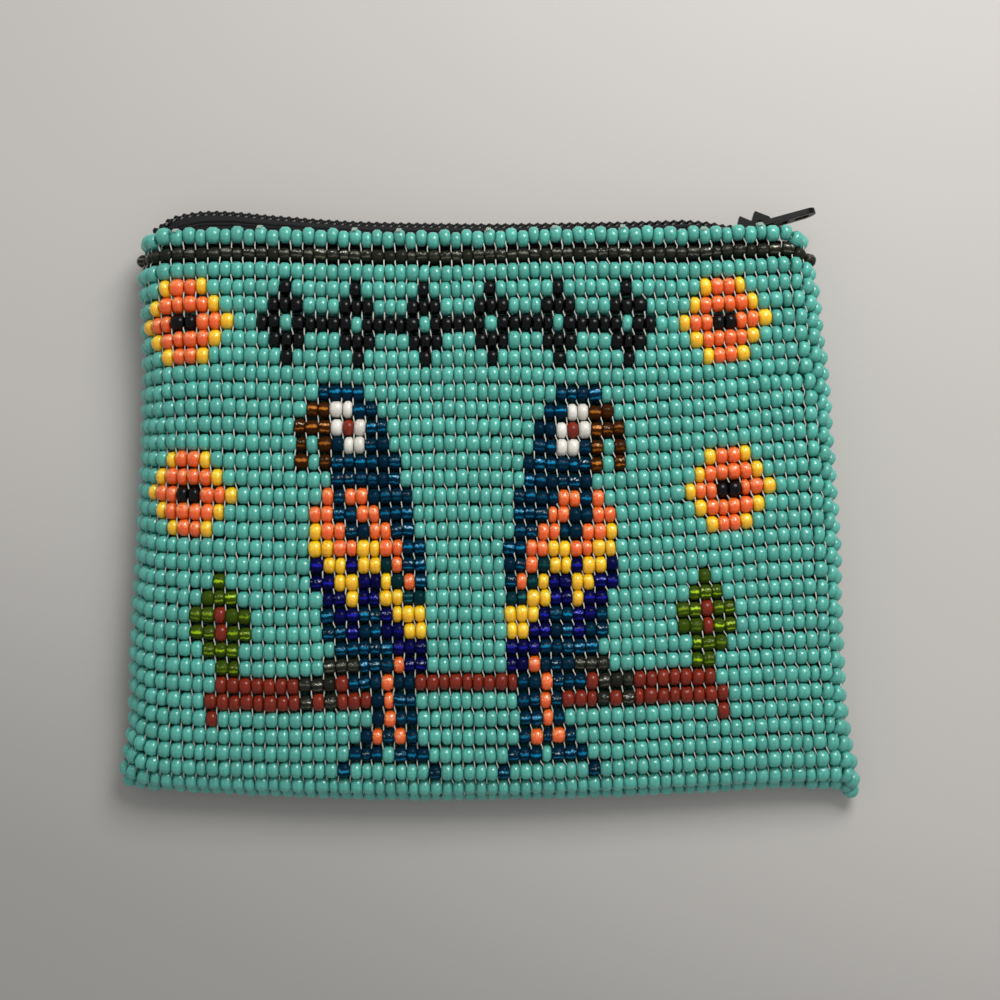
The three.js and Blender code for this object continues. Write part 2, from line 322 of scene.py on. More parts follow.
@dataclass(frozen=True)
class LustreLook:
    """A painted sheen of paler patches across the upper half of opaque lustre glass, standing for its
    highlight, with the scale of its noise per metre.
    """

    painted_sheen: Stripe = Stripe(0.35, 0.05, 0.55)
    painted_sheen_scale: float = 2400.0
    painted_sheen_edge: tuple[float, float] = (0.35, 0.65)
    painted_sheen_share: float = 0.55

    def light(self, shader: Shader, base: Sock, spot: Spot, painted_glint: str) -> Sock:
        """Paints the sheen into the glass's colour.

        Args:
            shader: The bead's material.
            base: The glass's colour.
            spot: The point of the bead.
            painted_glint: The painted sheen's colour.

        Returns:
            The colour with its painted sheen.
        """
        # painted sheen: paler patches in a band across the upper half of the bead, where the light falls
        painted_sheen = shader.noise(self.painted_sheen_scale).smooth(*self.painted_sheen_edge)
        painted_sheen = painted_sheen * self.painted_sheen.mask(spot.across, spot.tone)
        return shader.mix(painted_sheen * self.painted_sheen_share, base, linear(painted_glint))


@dataclass(frozen=True)
class BeadGlass:
    """The glass of one colour of seed bead."""

    name: str
    colour: str
    gleam: Gleam
    roughness: float
    specular: float
    # painted light: the first colour below paints the glints of clear glass and the sheen of lustre glass,
    # the second the highlight line of clear glass
    painted_glint: str = "ffffff"
    painted_shine: str = "ffffff"
    deepest: float = 0.82
    # painted shade: the bead darkens towards its ends, by these places along it, this share and this dim
    # copy of its colour
    ends: tuple[float, float] = (0.6, 1.05)
    end_painted_shade: float = 0.2
    painted_shade_tone: float = 0.3
    grain_scale: float = 900.0
    grain: float = 0.12
    opaque_coat: float = 1.2
    lustre_coat: float = 0.8
    coat_roughness: float = 0.06
    glow: float = 0.9
    glow_depth: float = 1.8 * MM

    @property
    def cut(self) -> bool:
        """Whether the beads are short cut tubes rather than rounded."""
        return self.gleam is Gleam.CLEAR

    @property
    def coat(self) -> float:
        """How strong the gloss over the glass is."""
        coats = {Gleam.OPAQUE: self.opaque_coat * self.specular, Gleam.LUSTRE: self.lustre_coat}
        return coats.get(self.gleam, 0.0)

    def material(self) -> bpy.types.Material:
        """Makes the glass.

        Returns:
            The material, varied by each bead's own tone, with painted shade towards the bead's ends and the
            painted light of its gleam by the place on the bead.
        """
        shader = Shader(f"glass_{self.name}")
        place = shader.attribute("place", out="Vector")
        spot = Spot(shader.attribute("tone"), abs(shader.axis(place, "X")), shader.axis(place, "Y"))
        pure = linear(self.colour)
        base = shader.mix(spot.tone, dimmed(pure, self.deepest), pure)
        # painted light: glints and a highlight line for clear glass, a sheen for lustre glass
        if self.gleam is Gleam.CLEAR:
            base = ClearLook().light(shader, base, spot, self.painted_glint, self.painted_shine)
        if self.gleam is Gleam.LUSTRE:
            base = LustreLook().light(shader, base, spot, self.painted_glint)
        # painted shade towards the bead's ends, where the holes and neighbours shade it
        shade = spot.along.smooth(*self.ends) * self.end_painted_shade
        return shader.finish({
            "Base Color": shader.mix(shade, base, dimmed(pure, self.painted_shade_tone)),
            "Roughness": shader.noise(self.grain_scale) * self.grain + self.roughness,
            "Specular IOR Level": self.specular,
            "Coat Weight": self.coat,
            "Coat Roughness": self.coat_roughness,
            "Subsurface Weight": 0.0 if self.cut else self.glow,
            "Subsurface Radius": tuple(c / max(pure[:3]) for c in pure[:3]),
            "Subsurface Scale": self.glow_depth,
        })


class Glass(Enum):
    """The bead colours, by the letter that the chart uses."""

    TURQUOISE = "T"
    BLACK = "K"
    YELLOW = "Y"
    ORANGE = "O"
    WHITE = "W"
    BRICK = "R"
    BLUE = "B"
    NAVY = "N"
    TEAL = "D"
    GREEN = "G"
    AMBER = "A"
    SMOKE = "S"


# The colours after the numbers are painted light: the glints and highlight line of clear glass, and the
# sheen of lustre glass.
GLASSES = {
    Glass.TURQUOISE: BeadGlass("turquoise", "52a496", Gleam.OPAQUE, 0.24, 0.4),
    Glass.BLACK: BeadGlass("black", "030304", Gleam.OPAQUE, 0.2, 0.12),
    Glass.YELLOW: BeadGlass("yellow", "f6b604", Gleam.LUSTRE, 0.24, 0.3, "ffe860"),
    Glass.ORANGE: BeadGlass("orange", "ea6018", Gleam.LUSTRE, 0.24, 0.3, "ffbc84"),
    Glass.WHITE: BeadGlass("white", "d9d4c8", Gleam.OPAQUE, 0.24, 0.4),
    Glass.BRICK: BeadGlass("brick", "7a2614", Gleam.OPAQUE, 0.24, 0.15),
    Glass.BLUE: BeadGlass("blue", "022234", Gleam.CLEAR, 0.14, 0.04, "0b7ca6", "c4d8dc"),
    Glass.NAVY: BeadGlass("navy", "06083a", Gleam.CLEAR, 0.14, 0.04, "1e1e9e", "b4b8d8"),
    Glass.TEAL: BeadGlass("teal", "042a2e", Gleam.CLEAR, 0.14, 0.04, "1c7478", "c4d8d4"),
    Glass.GREEN: BeadGlass("green", "35490a", Gleam.CLEAR, 0.14, 0.06, "a2c81e", "d8dc8c"),
    Glass.AMBER: BeadGlass("amber", "361a05", Gleam.CLEAR, 0.14, 0.05, "b86c20", "e8c8a0"),
    Glass.SMOKE: BeadGlass("smoke", "20211a", Gleam.CLEAR, 0.14, 0.1, "626254", "f2f0e0"),
}


@dataclass(frozen=True)
class ThreadFinish:
    """Spun thread, in one colour, with the scale of its fibres per metre."""

    name: str
    colour: str
    specular: float = 0.3
    roughness: float = 0.8
    fibre_scale: float = 6000.0
    shaded: float = 0.6
    relief: float = 0.5
    relief_depth: float = 0.05 * MM

    def material(self) -> bpy.types.Material:
        """Makes the thread.

        Returns:
            The material, streaked and raised by its fibres.
        """
        shader = Shader(f"thread_{self.name}")
        fibre = shader.noise(self.fibre_scale)
        colour = linear(self.colour)
        return shader.finish({
            "Base Color": shader.mix(fibre, dimmed(colour, self.shaded), colour),
            "Roughness": self.roughness,
            "Specular IOR Level": self.specular,
            "Normal": shader.bump(fibre, self.relief, self.relief_depth),
        })


WARP_THREAD = ThreadFinish("cream", "d4d1c6")
SEAM_THREAD = ThreadFinish("pale", "a2b3a4")
COIL_THREAD = ThreadFinish("grey", "74726e")
TAPE_YARN = ThreadFinish("black", "242425", 0.1)


@dataclass(frozen=True)
class EnamelFinish:
    """Black enamel over metal, worn in small patches, with the scale of its wear per metre."""

    colour: str = "060606"
    worn: str = "1a1a1b"
    edge: float = 0.12 * MM
    edge_samples: int = 6
    wear_scale: float = 700.0
    wear_detail: float = 5.0
    wear_edge: tuple[float, float] = (0.58, 0.75)
    wear_share: float = 0.5
    roughness: float = 0.36
    worn_roughness: float = 0.2
    specular: float = 0.1

    def material(self) -> bpy.types.Material:
        """Makes the enamel.

        Returns:
            The material, patchy where it is worn.
        """
        shader = Shader("black_enamel")
        wear = shader.noise(self.wear_scale, self.wear_detail).smooth(*self.wear_edge)
        rounded = shader.node("ShaderNodeBevel", {"samples": self.edge_samples}, {"Radius": self.edge})
        return shader.finish({
            "Base Color": shader.mix(wear * self.wear_share, linear(self.colour), linear(self.worn)),
            "Roughness": self.roughness + wear * self.worn_roughness,
            "Specular IOR Level": self.specular,
            "Normal": rounded,
        })


@dataclass(frozen=True)
class NylonFinish:
    """Dyed nylon of the coil, with the scale of its cloudy patches per metre."""

    colour: str = "070708"
    paler: str = "111113"
    cloud_scale: float = 1500.0
    roughness: float = 0.4
    cloud_roughness: float = 0.15
    specular: float = 0.15

    def material(self) -> bpy.types.Material:
        """Makes the nylon.

        Returns:
            The material, a little cloudy.
        """
        shader = Shader("black_nylon")
        cloud = shader.noise(self.cloud_scale)
        return shader.finish({
            "Base Color": shader.mix(cloud, linear(self.colour), linear(self.paler)),
            "Roughness": self.roughness + cloud * self.cloud_roughness,
            "Specular IOR Level": self.specular,
        })


class Side(Enum):
    """Which panel of the purse."""

    FRONT = 1
    BACK = -1


def solid_of(node: str) -> BVHTree:
    """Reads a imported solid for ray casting.

    Args:
        node: The solid's name.

    Returns:
        A tree of its faces.
    """
    shape = bmesh.new()
    shape.from_mesh(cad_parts[node].data)
    bmesh.ops.remove_doubles(shape, verts=shape.verts, dist=WELD)
    tree = BVHTree.FromBMesh(shape)
    shape.free()
    return tree


def resample(points: np.ndarray, where: np.ndarray) -> np.ndarray:
    """Reads a polyline at distances along it.

    Args:
        points: The polyline's points, with any further columns carried along.
        where: Distances from its start.

    Returns:
        One row for each distance.
    """
    run = run_length(points)
    return np.stack([np.interp(where, run, points[:, i]) for i in range(points.shape[1])], axis=1)


def run_length(points: np.ndarray) -> np.ndarray:
    """The distance along a polyline at each of its points."""
    steps = np.linalg.norm(np.diff(points[:, :3], axis=0), axis=1)
    return np.concatenate([[0.0], np.cumsum(steps)])


def unit(vectors: np.ndarray) -> np.ndarray:
    """Vectors at length one."""
    return vectors / np.maximum(np.linalg.norm(vectors, axis=-1, keepdims=True), TINY)


def eased(count: int) -> np.ndarray:
    """Places from 0 to 1, closer together at both ends."""
    return 0.5 - 0.5 * np.cos(np.linspace(0.0, math.pi, count))


def evened(grid: np.ndarray, passes: int) -> np.ndarray:
    """Rounds off the facets of a grid of values, with its ends held.

    Args:
        grid: Values by row and column, with any further axes carried along.
        passes: How many times each value is averaged with its neighbours.

    Returns:
        The evened grid.
    """
    for axis in (0, 1):
        rolled = np.moveaxis(grid, axis, 0).copy()
        for _ in range(passes):
            rolled[1:-1] = (rolled[:-2] + 2 * rolled[1:-1] + rolled[2:]) / 4
        grid = np.moveaxis(rolled, 0, axis)
    return grid


@dataclass
class PanelFace:
    """The outer face of a panel's solid, laid out from its seams to its mouth."""

    node: str
    side: Side
    across: int = 220
    up: int = 130
    corner: float = 2.5 * MM
    shy: float = 0.03 * MM
    inward: float = 0.0006
    far: float = 80 * MM

    def __post_init__(self) -> None:
        """Reads the solid and its box."""
        self.tree = solid_of(self.node)
        self.low, self.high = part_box(self.node)

    def strike(self, x: float, y: float) -> tuple[float, ...] | None:
        """Looks straight at the panel over a plan point.

        Args:
            x: The plan point's place along the zip.
            y: Its place towards the zip.

        Returns:
            The face's height and outward direction there, or None beside the panel.
        """
        above = self.side is Side.FRONT
        start = Vector((x, y, self.high.z + self.corner if above else self.low.z - self.corner))
        place, outward, _, _ = self.tree.ray_cast(start, DOWN if above else UP)
        return None if place is None else (place.z, *outward)

    def edge(self, start: Vector, way: Vector) -> Vector:
        """Finds the panel's outline.

        Args:
            start: A plan point on the panel.
            way: The direction to go.

        Returns:
            The last plan point on the panel in that direction.
        """
        near, beyond = 0.0, self.far
        while beyond - near > self.shy / 4:
            middle = (near + beyond) / 2
            point = start + way * middle
            if self.strike(point.x, point.y) is None:
                beyond = middle
            else:
                near = middle
        return start + way * (near - self.shy)

    def outline(self, corner: Vector, other: Vector, count: int, way: Vector) -> np.ndarray:
        """One edge of the plan between two corners.

        Args:
            corner: Where it starts.
            other: Where it ends.
            count: How many points.
            way: The outward direction.

        Returns:
            Its plan points, corners included.
        """
        points = [corner]
        for share in eased(count)[1:-1]:
            point = corner.lerp(other, share)
            points.append(self.edge(point - way * self.corner, way))
        return np.array([p[:2] for p in [*points, other]])

    def corner_at(self, left: bool, foot: bool) -> Vector:
        """Finds one corner of the plan.

        Args:
            left: Whether it is at the left end.
            foot: Whether it is at the bottom edge.

        Returns:
            The last plan point on the panel in the corner's direction.
        """
        side = Vector((-1.0 if left else 1.0, 0.0))
        end = Vector((0.0, -1.0 if foot else 1.0))
        middle_end = self.edge(Vector((0.0, 0.0)), end)
        beside = self.edge(middle_end - end * self.corner * 2, side)
        end_point = self.edge(beside - side * self.corner - end * self.corner, end)
        side_point = self.edge(end_point - end * self.corner / 3, side)
        inside = Vector((side_point.x, end_point.y)) - (side + end) * self.corner
        return self.edge(inside, (side + end).normalized())

    def grid(self) -> tuple[np.ndarray, np.ndarray]:
        """Lays the face out.

        Returns:
            Points by place down the panel, from the mouth, and place across it, from the left, and the
            outward directions there.
        """
        tl, tr = self.corner_at(True, False), self.corner_at(False, False)
        bl, br = self.corner_at(True, True), self.corner_at(False, True)
        top = self.outline(tl, tr, self.across, Vector((0.0, 1.0)))
        foot = self.outline(bl, br, self.across, Vector((0.0, -1.0)))
        left = self.outline(tl, bl, self.up, Vector((-1.0, 0.0)))
        right = self.outline(tr, br, self.up, Vector((1.0, 0.0)))
        u = eased(self.across)[None, :, None]
        v = eased(self.up)[:, None, None]
        corners = (1 - u) * (1 - v) * tl[:2] + u * (1 - v) * tr[:2]
        corners = corners + (1 - u) * v * bl[:2] + u * v * br[:2]
        plan = (1 - v) * top[None] + v * foot[None] + (1 - u) * left[:, None] + u * right[:, None]
        plan = plan - corners
        found = np.array([[self.nearest(x, y) for x, y in row] for row in plan])
        return np.concatenate([plan, found[:, :, :1]], axis=2), found[:, :, 1:]

    def nearest(self, x: float, y: float) -> tuple[float, ...]:
        """Finds the face at a plan point, or just inside the outline next to it.

        Args:
            x: The plan point's place along the zip.
            y: Its place towards the zip.

        Returns:
            The face's height and outward direction.
        """
        share = 1.0
        found = self.strike(x, y)
        while found is None:
            share -= self.inward
            found = self.strike(x * share, y * share)
        return found


@dataclass
class Seats:
    """Where beads sit: rows from the mouth down, columns from the left."""

    centre: np.ndarray
    along: np.ndarray
    outward: np.ndarray
    pitch: np.ndarray
    side: Side

    @property
    def upward(self) -> np.ndarray:
        """Directions along the cloth towards the mouth."""
        return unit(np.cross(self.outward, self.along)) * self.side.value

    def shown(self, row: int, least: float) -> np.ndarray:
        """Places on a row that hold a bead, longer than a share of the usual one."""
        return np.flatnonzero(self.pitch[row] > least * np.median(self.pitch))

    def turns(self) -> np.ndarray:
        """Turns every bead's X along its row and its Z outwards.

        Returns:
            Quaternions by row and column.
        """
        x = unit(self.along)
        z = unit(self.outward - x * np.sum(self.outward * x, axis=-1, keepdims=True))
        y = np.cross(z, x)
        flat = np.stack([x, y, z], axis=-1).reshape(-1, 3, 3)
        quaternions = [Matrix(m.tolist()).to_quaternion() for m in flat]
        return np.array([[q.w, q.x, q.y, q.z] for q in quaternions]).reshape(*self.centre.shape[:2], 4)


class Tree:
    """A Geometry Nodes tree under construction."""

    def __init__(self, name: str, inputs: dict[str, str]) -> None:
        """Starts a tree.

        Args:
            name: Its name.
            inputs: Socket types by input name.
        """
        self.group = bpy.data.node_groups.new(name, "GeometryNodeTree")
        self.group.interface.new_socket("Geometry", in_out="INPUT", socket_type="NodeSocketGeometry")
        self.keys = {}
        for label, kind in inputs.items():
            socket = self.group.interface.new_socket(label, in_out="INPUT", socket_type=kind)
            self.keys[label] = socket.identifier
        self.group.interface.new_socket("Geometry", in_out="OUTPUT", socket_type="NodeSocketGeometry")
        self.given = self.group.nodes.new("NodeGroupInput")

    def input(self, label: str) -> bpy.types.NodeSocket:
        """One of the tree's inputs, by its name."""
        return self.given.outputs[label]

    def node(self, kind: str, settings: dict | None = None, sockets: dict | None = None) -> bpy.types.Node:
        """Adds a node.

        Args:
            kind: Its type.
            settings: Its properties.
            sockets: Values or output sockets by input name or place.

        Returns:
            The node.
        """
        node = self.group.nodes.new(kind)
        for key, value in (settings or {}).items():
            setattr(node, key, value)
        for key, value in (sockets or {}).items():
            if isinstance(value, bpy.types.NodeSocket):
                self.group.links.new(value, node.inputs[key])
            else:
                node.inputs[key].default_value = value
        return node

    def maths(self, operation: str, first: object, second: object) -> bpy.types.NodeSocket:
        """The result of a sum on numbers or output sockets."""
        return self.node("ShaderNodeMath", {"operation": operation}, {0: first, 1: second}).outputs[0]

    def circle(self, corners: object, radius: object) -> bpy.types.NodeSocket:
        """A closed ring of so many corners, facing along Z."""
        sockets = {"Resolution": corners, "Radius": radius}
        return self.node("GeometryNodeCurvePrimitiveCircle", sockets=sockets).outputs[0]

    def swept(self, path: object, section: object, capped: bool = False) -> bpy.types.NodeSocket:
        """The skin of a section carried along a path."""
        sockets = {0: path, "Profile Curve": section, "Fill Caps": capped}
        return self.node("GeometryNodeCurveToMesh", sockets=sockets).outputs[0]

    def stored(self, name: str, kind: str) -> bpy.types.NodeSocket:
        """Reads a stored attribute of the points."""
        return self.node("GeometryNodeInputNamedAttribute", {"data_type": kind}, {"Name": name}).outputs[0]

    def close(self, geometry: bpy.types.NodeSocket) -> None:
        """Ends the tree, with its instances realized, shaded smooth and given the tree's finish.

        Args:
            geometry: What the tree has made.
        """
        real = self.node("GeometryNodeRealizeInstances", sockets={0: geometry})
        smooth = self.node("GeometryNodeSetShadeSmooth", sockets={0: real.outputs[0]})
        dressed = self.node("GeometryNodeSetMaterial", sockets={
            "Geometry": smooth.outputs[0], "Material": self.input("Finish"),
        })
        out = self.group.nodes.new("NodeGroupOutput")
        self.group.links.new(dressed.outputs[0], out.inputs[0])

    def grow(self, name: str, mesh: bpy.types.Mesh, values: dict) -> bpy.types.Object:
        """Runs the tree on a mesh.

        Args:
            name: The finished piece's name.
            mesh: The points or edges that it starts from.
            values: Values by input name.

        Returns:
            The piece, as a plain mesh.
        """
        piece = bpy.data.objects.new(name, mesh)
        bpy.context.scene.collection.objects.link(piece)
        modifier = piece.modifiers.new(name, "NODES")
        modifier.node_group = self.group
        for label, value in values.items():
            modifier[self.keys[label]] = value
        graph = bpy.context.evaluated_depsgraph_get()
        grown = bpy.data.meshes.new_from_object(piece.evaluated_get(graph))
        piece.modifiers.remove(modifier)
        piece.data = grown
        grown.name = name
        bpy.data.meshes.remove(mesh)
        return piece


FLOAT = "NodeSocketFloat"
WHOLE = "NodeSocketInt"
MATERIAL = "NodeSocketMaterial"
BEAD_CORNERS = 8
SHOULDER_PEAK = 4.0
COIL_CORNERS = 14


def bead_section(tree: Tree, wall: bpy.types.NodeSocket,
                 long: bpy.types.NodeSocket) -> bpy.types.NodeSocket:
    """The section through one wall of a bead, with flat outer and inner sides and drawn-in shoulders.

    Args:
        tree: The bead's tree.
        wall: Half the wall's thickness.
        long: Half the bead's length.

    Returns:
        The closed curve, with the bead's length along its Y.
    """
    half_corner = math.pi / BEAD_CORNERS
    turned = tree.node("GeometryNodeTransform", sockets={
        "Geometry": tree.circle(BEAD_CORNERS, 1.0 / math.cos(half_corner)),
        "Rotation": (0.0, 0.0, half_corner),
    })
    position = tree.node("GeometryNodeInputPosition")
    axes = tree.node("ShaderNodeSeparateXYZ", sockets={0: position.outputs[0]})
    outer = tree.maths("MAXIMUM", axes.outputs[0], 0.0)
    shoulder = tree.maths("MULTIPLY", outer, tree.maths("SUBTRACT", 1.0, outer))
    shoulder = tree.maths("MULTIPLY", shoulder, SHOULDER_PEAK)
    drawn = tree.maths("MULTIPLY", shoulder, tree.input("Shoulder Draw"))
    reach = tree.maths("MULTIPLY", long, tree.maths("SUBTRACT", 1.0, drawn))
    shape = tree.node("ShaderNodeCombineXYZ", sockets={
        0: tree.maths("MULTIPLY", axes.outputs[0], wall), 1: tree.maths("MULTIPLY", axes.outputs[1], reach),
    })
    sized = tree.node("GeometryNodeSetPosition", sockets={
        "Geometry": turned.outputs[0], "Position": shape.outputs[0],
    })
    return sized.outputs[0]


def bead_tree() -> Tree:
    """A bead on every point: a section of its wall, swept about the hole.

    Returns:
        The tree, which marks every point of a bead with its place, in half lengths and radii.
    """
    tree = Tree("bead", {
        "Bead Diameter": FLOAT, "Bead Length": FLOAT, "Hole Share": FLOAT, "Shoulder Draw": FLOAT,
        "Sides": WHOLE, "Finish": MATERIAL,
    })
    radius = tree.maths("DIVIDE", tree.input("Bead Diameter"), 2.0)
    long = tree.maths("DIVIDE", tree.input("Bead Length"), 2.0)
    hole = tree.maths("MULTIPLY", radius, tree.input("Hole Share"))
    middle = tree.maths("DIVIDE", tree.maths("ADD", radius, hole), 2.0)
    section = bead_section(tree, tree.maths("SUBTRACT", radius, middle), long)
    stood = tree.node("GeometryNodeTransform", sockets={
        "Geometry": tree.swept(tree.circle(tree.input("Sides"), middle), section),
        "Rotation": (0.0, math.radians(90.0), 0.0),
    })
    position = tree.node("GeometryNodeInputPosition")
    scale = tree.node("ShaderNodeCombineXYZ", sockets={0: long, 1: radius, 2: radius})
    share = tree.node("ShaderNodeVectorMath", {"operation": "DIVIDE"},
                      {0: position.outputs[0], 1: scale.outputs[0]})
    marked = tree.node("GeometryNodeStoreNamedAttribute", {"data_type": "FLOAT_VECTOR", "domain": "POINT"},
                       {"Geometry": stood.outputs[0], "Name": "place", "Value": share.outputs[0]})
    placed = tree.node("GeometryNodeInstanceOnPoints", sockets={
        "Points": tree.input("Geometry"), "Instance": marked.outputs[0],
        "Rotation": tree.stored("turn", "QUATERNION"), "Scale": tree.stored("share", "FLOAT_VECTOR"),
    })
    tree.close(placed.outputs[0])
    return tree


def thread_tree() -> Tree:
    """A round thread along every line of edges.

    Returns:
        The tree.
    """
    tree = Tree("thread", {"Thread Diameter": FLOAT, "Sides": WHOLE, "Finish": MATERIAL})
    radius = tree.maths("DIVIDE", tree.input("Thread Diameter"), 2.0)
    lines = tree.node("GeometryNodeMeshToCurve", sockets={0: tree.input("Geometry")})
    section = tree.circle(tree.input("Sides"), radius)
    tree.close(tree.swept(lines.outputs[0], section, capped=True))
    return tree


def coil_tree() -> Tree:
    """A turn of the zip's coil on every point.

    Returns:
        The tree, with a turn's depth along its X and its width along its Y.
    """
    tree = Tree("coil_turn", {
        "Turn Width": FLOAT, "Turn Depth": FLOAT, "Wire": FLOAT, "Sides": WHOLE, "Finish": MATERIAL,
    })
    wire = tree.maths("DIVIDE", tree.input("Wire"), 2.0)
    size = tree.node("ShaderNodeCombineXYZ", sockets={
        0: tree.input("Turn Depth"), 1: tree.input("Turn Width"), 2: 1.0,
    })
    loop = tree.node("GeometryNodeTransform", sockets={
        "Geometry": tree.circle(COIL_CORNERS, 0.5), "Scale": size.outputs[0],
    })
    turn = tree.swept(loop.outputs[0], tree.circle(tree.input("Sides"), wire))
    placed = tree.node("GeometryNodeInstanceOnPoints", sockets={
        "Points": tree.input("Geometry"), "Instance": turn, "Rotation": tree.stored("turn", "QUATERNION"),
    })
    tree.close(placed.outputs[0])
    return tree


def points_mesh(name: str, points: np.ndarray,
                attributes: dict[str, tuple[str, np.ndarray]]) -> bpy.types.Mesh:
    """A mesh of loose points.

    Args:
        name: Its name.
        points: Their places.
        attributes: Attribute types and values by name.

    Returns:
        The mesh.
    """
    mesh = bpy.data.meshes.new(name)
    mesh.from_pydata(points.tolist(), [], [])
    for label, (kind, values) in attributes.items():
        stored = mesh.attributes.new(label, kind, "POINT")
        key = "vector" if kind == "FLOAT_VECTOR" else "value"
        stored.data.foreach_set(key, np.ascontiguousarray(values, dtype=np.float32).ravel())
    return mesh


def lines_mesh(name: str, lines: list[np.ndarray]) -> bpy.types.Mesh:
    """A mesh of loose polylines.

    Args:
        name: Its name.
        lines: The points of each line.

    Returns:
        The mesh.
    """
    mesh = bpy.data.meshes.new(name)
    edges = []
    start = 0
    for line in lines:
        edges.extend((start + i, start + i + 1) for i in range(len(line) - 1))
        start += len(line)
    mesh.from_pydata(np.concatenate(lines).tolist(), edges, [])
    return mesh


def settle(piece: bpy.types.Object, body: str, stands_for: tuple[str, ...]) -> None:
    """Rides a piece on its body, hides the solids that it stands for, and reports it.

    Args:
        piece: The finished piece.
        body: The body that carries it.
        stands_for: The solids that it replaces, if any.
    """
    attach(piece, body)
    if stands_for:
        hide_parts(*stands_for)
    piece.data.calc_loop_triangles()
    LOG.info("%s: %d triangles on %s", piece.name, len(piece.data.loop_triangles), body)


@dataclass
class BeadChart:
    """The maker's chart of the front: letters from a start column, and a left half that is mirrored."""

    axis: int = 14
    flower_rows: tuple[int, int] = (3, 13)
    diamond_row: int = 3
    diamond_column: int = -3
    diamonds: int = 6
    flower: tuple[tuple[int, str], ...] = (
        (-11, "YOOY"),
        (-12, "YOOOOY"),
        (-13, "YOOKKOOY"),
        (-12, "YOOOOY"),
        (-11, "YOOY"),
    )
    diamond: tuple[str, ...] = ("..K..", ".KKK.", "KK.KK", ".KKK.", "..K..")
    bird_row: int = 9
    bird: tuple[tuple[int, str], ...] = (
        (2, "BBBB"),
        (1, "AAWWBB"),
        (0, "AAAWRWBB"),
        (0, "A.ABWWBB"),
        (0, "A.ABBBBBB"),
        (3, "BBBBBB"),
        (2, "OBOOBBBB"),
        (1, "OOBBOOBBB"),
        (1, "YOOBBOOBB"),
        (1, "YYOOYYOOBB"),
        (1, "NYYNYYDOBB"),
        (1, "NNYYNNYDOB"),
        (2, "NNYNNYYDD"),
        (2, "BNNBBNYYY"),
        (2, "BBNBBNNYY"),
        (3, "BBBBBNNN"),
        (2, "SSSBBBONN"),
        (0, "SSSRBBBOBB"),
        (0, "SRSRRRBOBB"),
        (6, "BOBB"),
        (5, "BOBOB"),
        (4, "BBB.BBB"),
        (3, "B.......B"),
    )
    branch_row: int = 26
    branch: tuple[tuple[int, str], ...] = ((-7, "RRRRRRR"), (-8, "RRRRRRRR"), (-8, "R"))
    perch: tuple[int, str] = (10, "RRRRR")
    leaf_row: int = 20
    leaf: tuple[tuple[int, str], ...] = (
        (-7, "G"),
        (-8, "GGG"),
        (-9, "GGRGG"),
        (-9, "GGRGG"),
        (-8, "GGG"),
        (-7, "GG"),
    )

    def glass(self) -> dict[tuple[int, int], Glass]:
        """Works the chart out.

        Returns:
            The glass of every bead that isn't ground, by row and column.
        """
        chart: dict[tuple[int, int], Glass] = {}
        figures = [(row, self.flower) for row in self.flower_rows]
        figures += [(self.bird_row, self.bird), (self.branch_row, self.branch), (self.leaf_row, self.leaf)]
        figures += [(self.branch_row, (self.perch,))]
        for first_row, lines in figures:
            for row, (column, word) in enumerate(lines, first_row):
                self.write(chart, row, column, word, mirrored=True)
        for row, word in enumerate(self.diamond, self.diamond_row):
            linked = "K" if row == self.diamond_row + len(self.diamond) // 2 else "."
            self.write(chart, row, self.diamond_column, linked.join([word] * self.diamonds), mirrored=False)
        return chart

    def write(self, chart: dict, row: int, column: int, word: str, mirrored: bool) -> None:
        """Enters one word of the chart.

        Args:
            chart: The chart so far, which is changed in place.
            row: The word's row.
            column: Its first column.
            word: Its letters, with a dot where the ground shows.
            mirrored: Whether its mirror image is entered too.
        """
        for place, letter in enumerate(word, column):
            if letter == ".":
                continue
            chart[row, place] = Glass(letter)
            if mirrored:
                chart[row, 2 * self.axis - place] = Glass(letter)


@dataclass(frozen=True)
class Anchor:
    """Where a column of beads runs on the mouth row, half way down and at the foot, in millimetres."""

    column: float
    mouth: float
    middle: float
    foot: float

    def at(self, row: int, rows: int) -> float:
        """The column's place along the zip on one of so many rows, in metres."""
        return MM * float(np.interp(row, (0, rows / 2, rows), (self.mouth, self.middle, self.foot)))


@dataclass(frozen=True)
class Sag:
    """Where the rows of the cloth rise, or sag if the rise is negative, in millimetres."""

    column: float
    row: float
    rise: float


FRONT_ANCHORS = (
    Anchor(-9.5, -43.3, -41.7, -41.2),
    Anchor(4.0, -20.6, -19.1, -18.6),
    Anchor(24.0, 11.0, 12.0, 13.3),
    Anchor(37.5, 32.9, 33.6, 36.3),
)
FRONT_SAGS = (
    Sag(-17, 7, -1.0),
    Sag(-10, 15, -0.4),
    Sag(24, 12, -0.6),
    Sag(47, 3, 0.9),
    Sag(47, 11, 1.2),
    Sag(47, 19, 0.7),
    Sag(47, 26, 0.4),
    Sag(6, 25, 0.6),
    Sag(14, 25, 0.7),
    Sag(22, 25, 0.8),
    Sag(31, 25, 0.4),
)


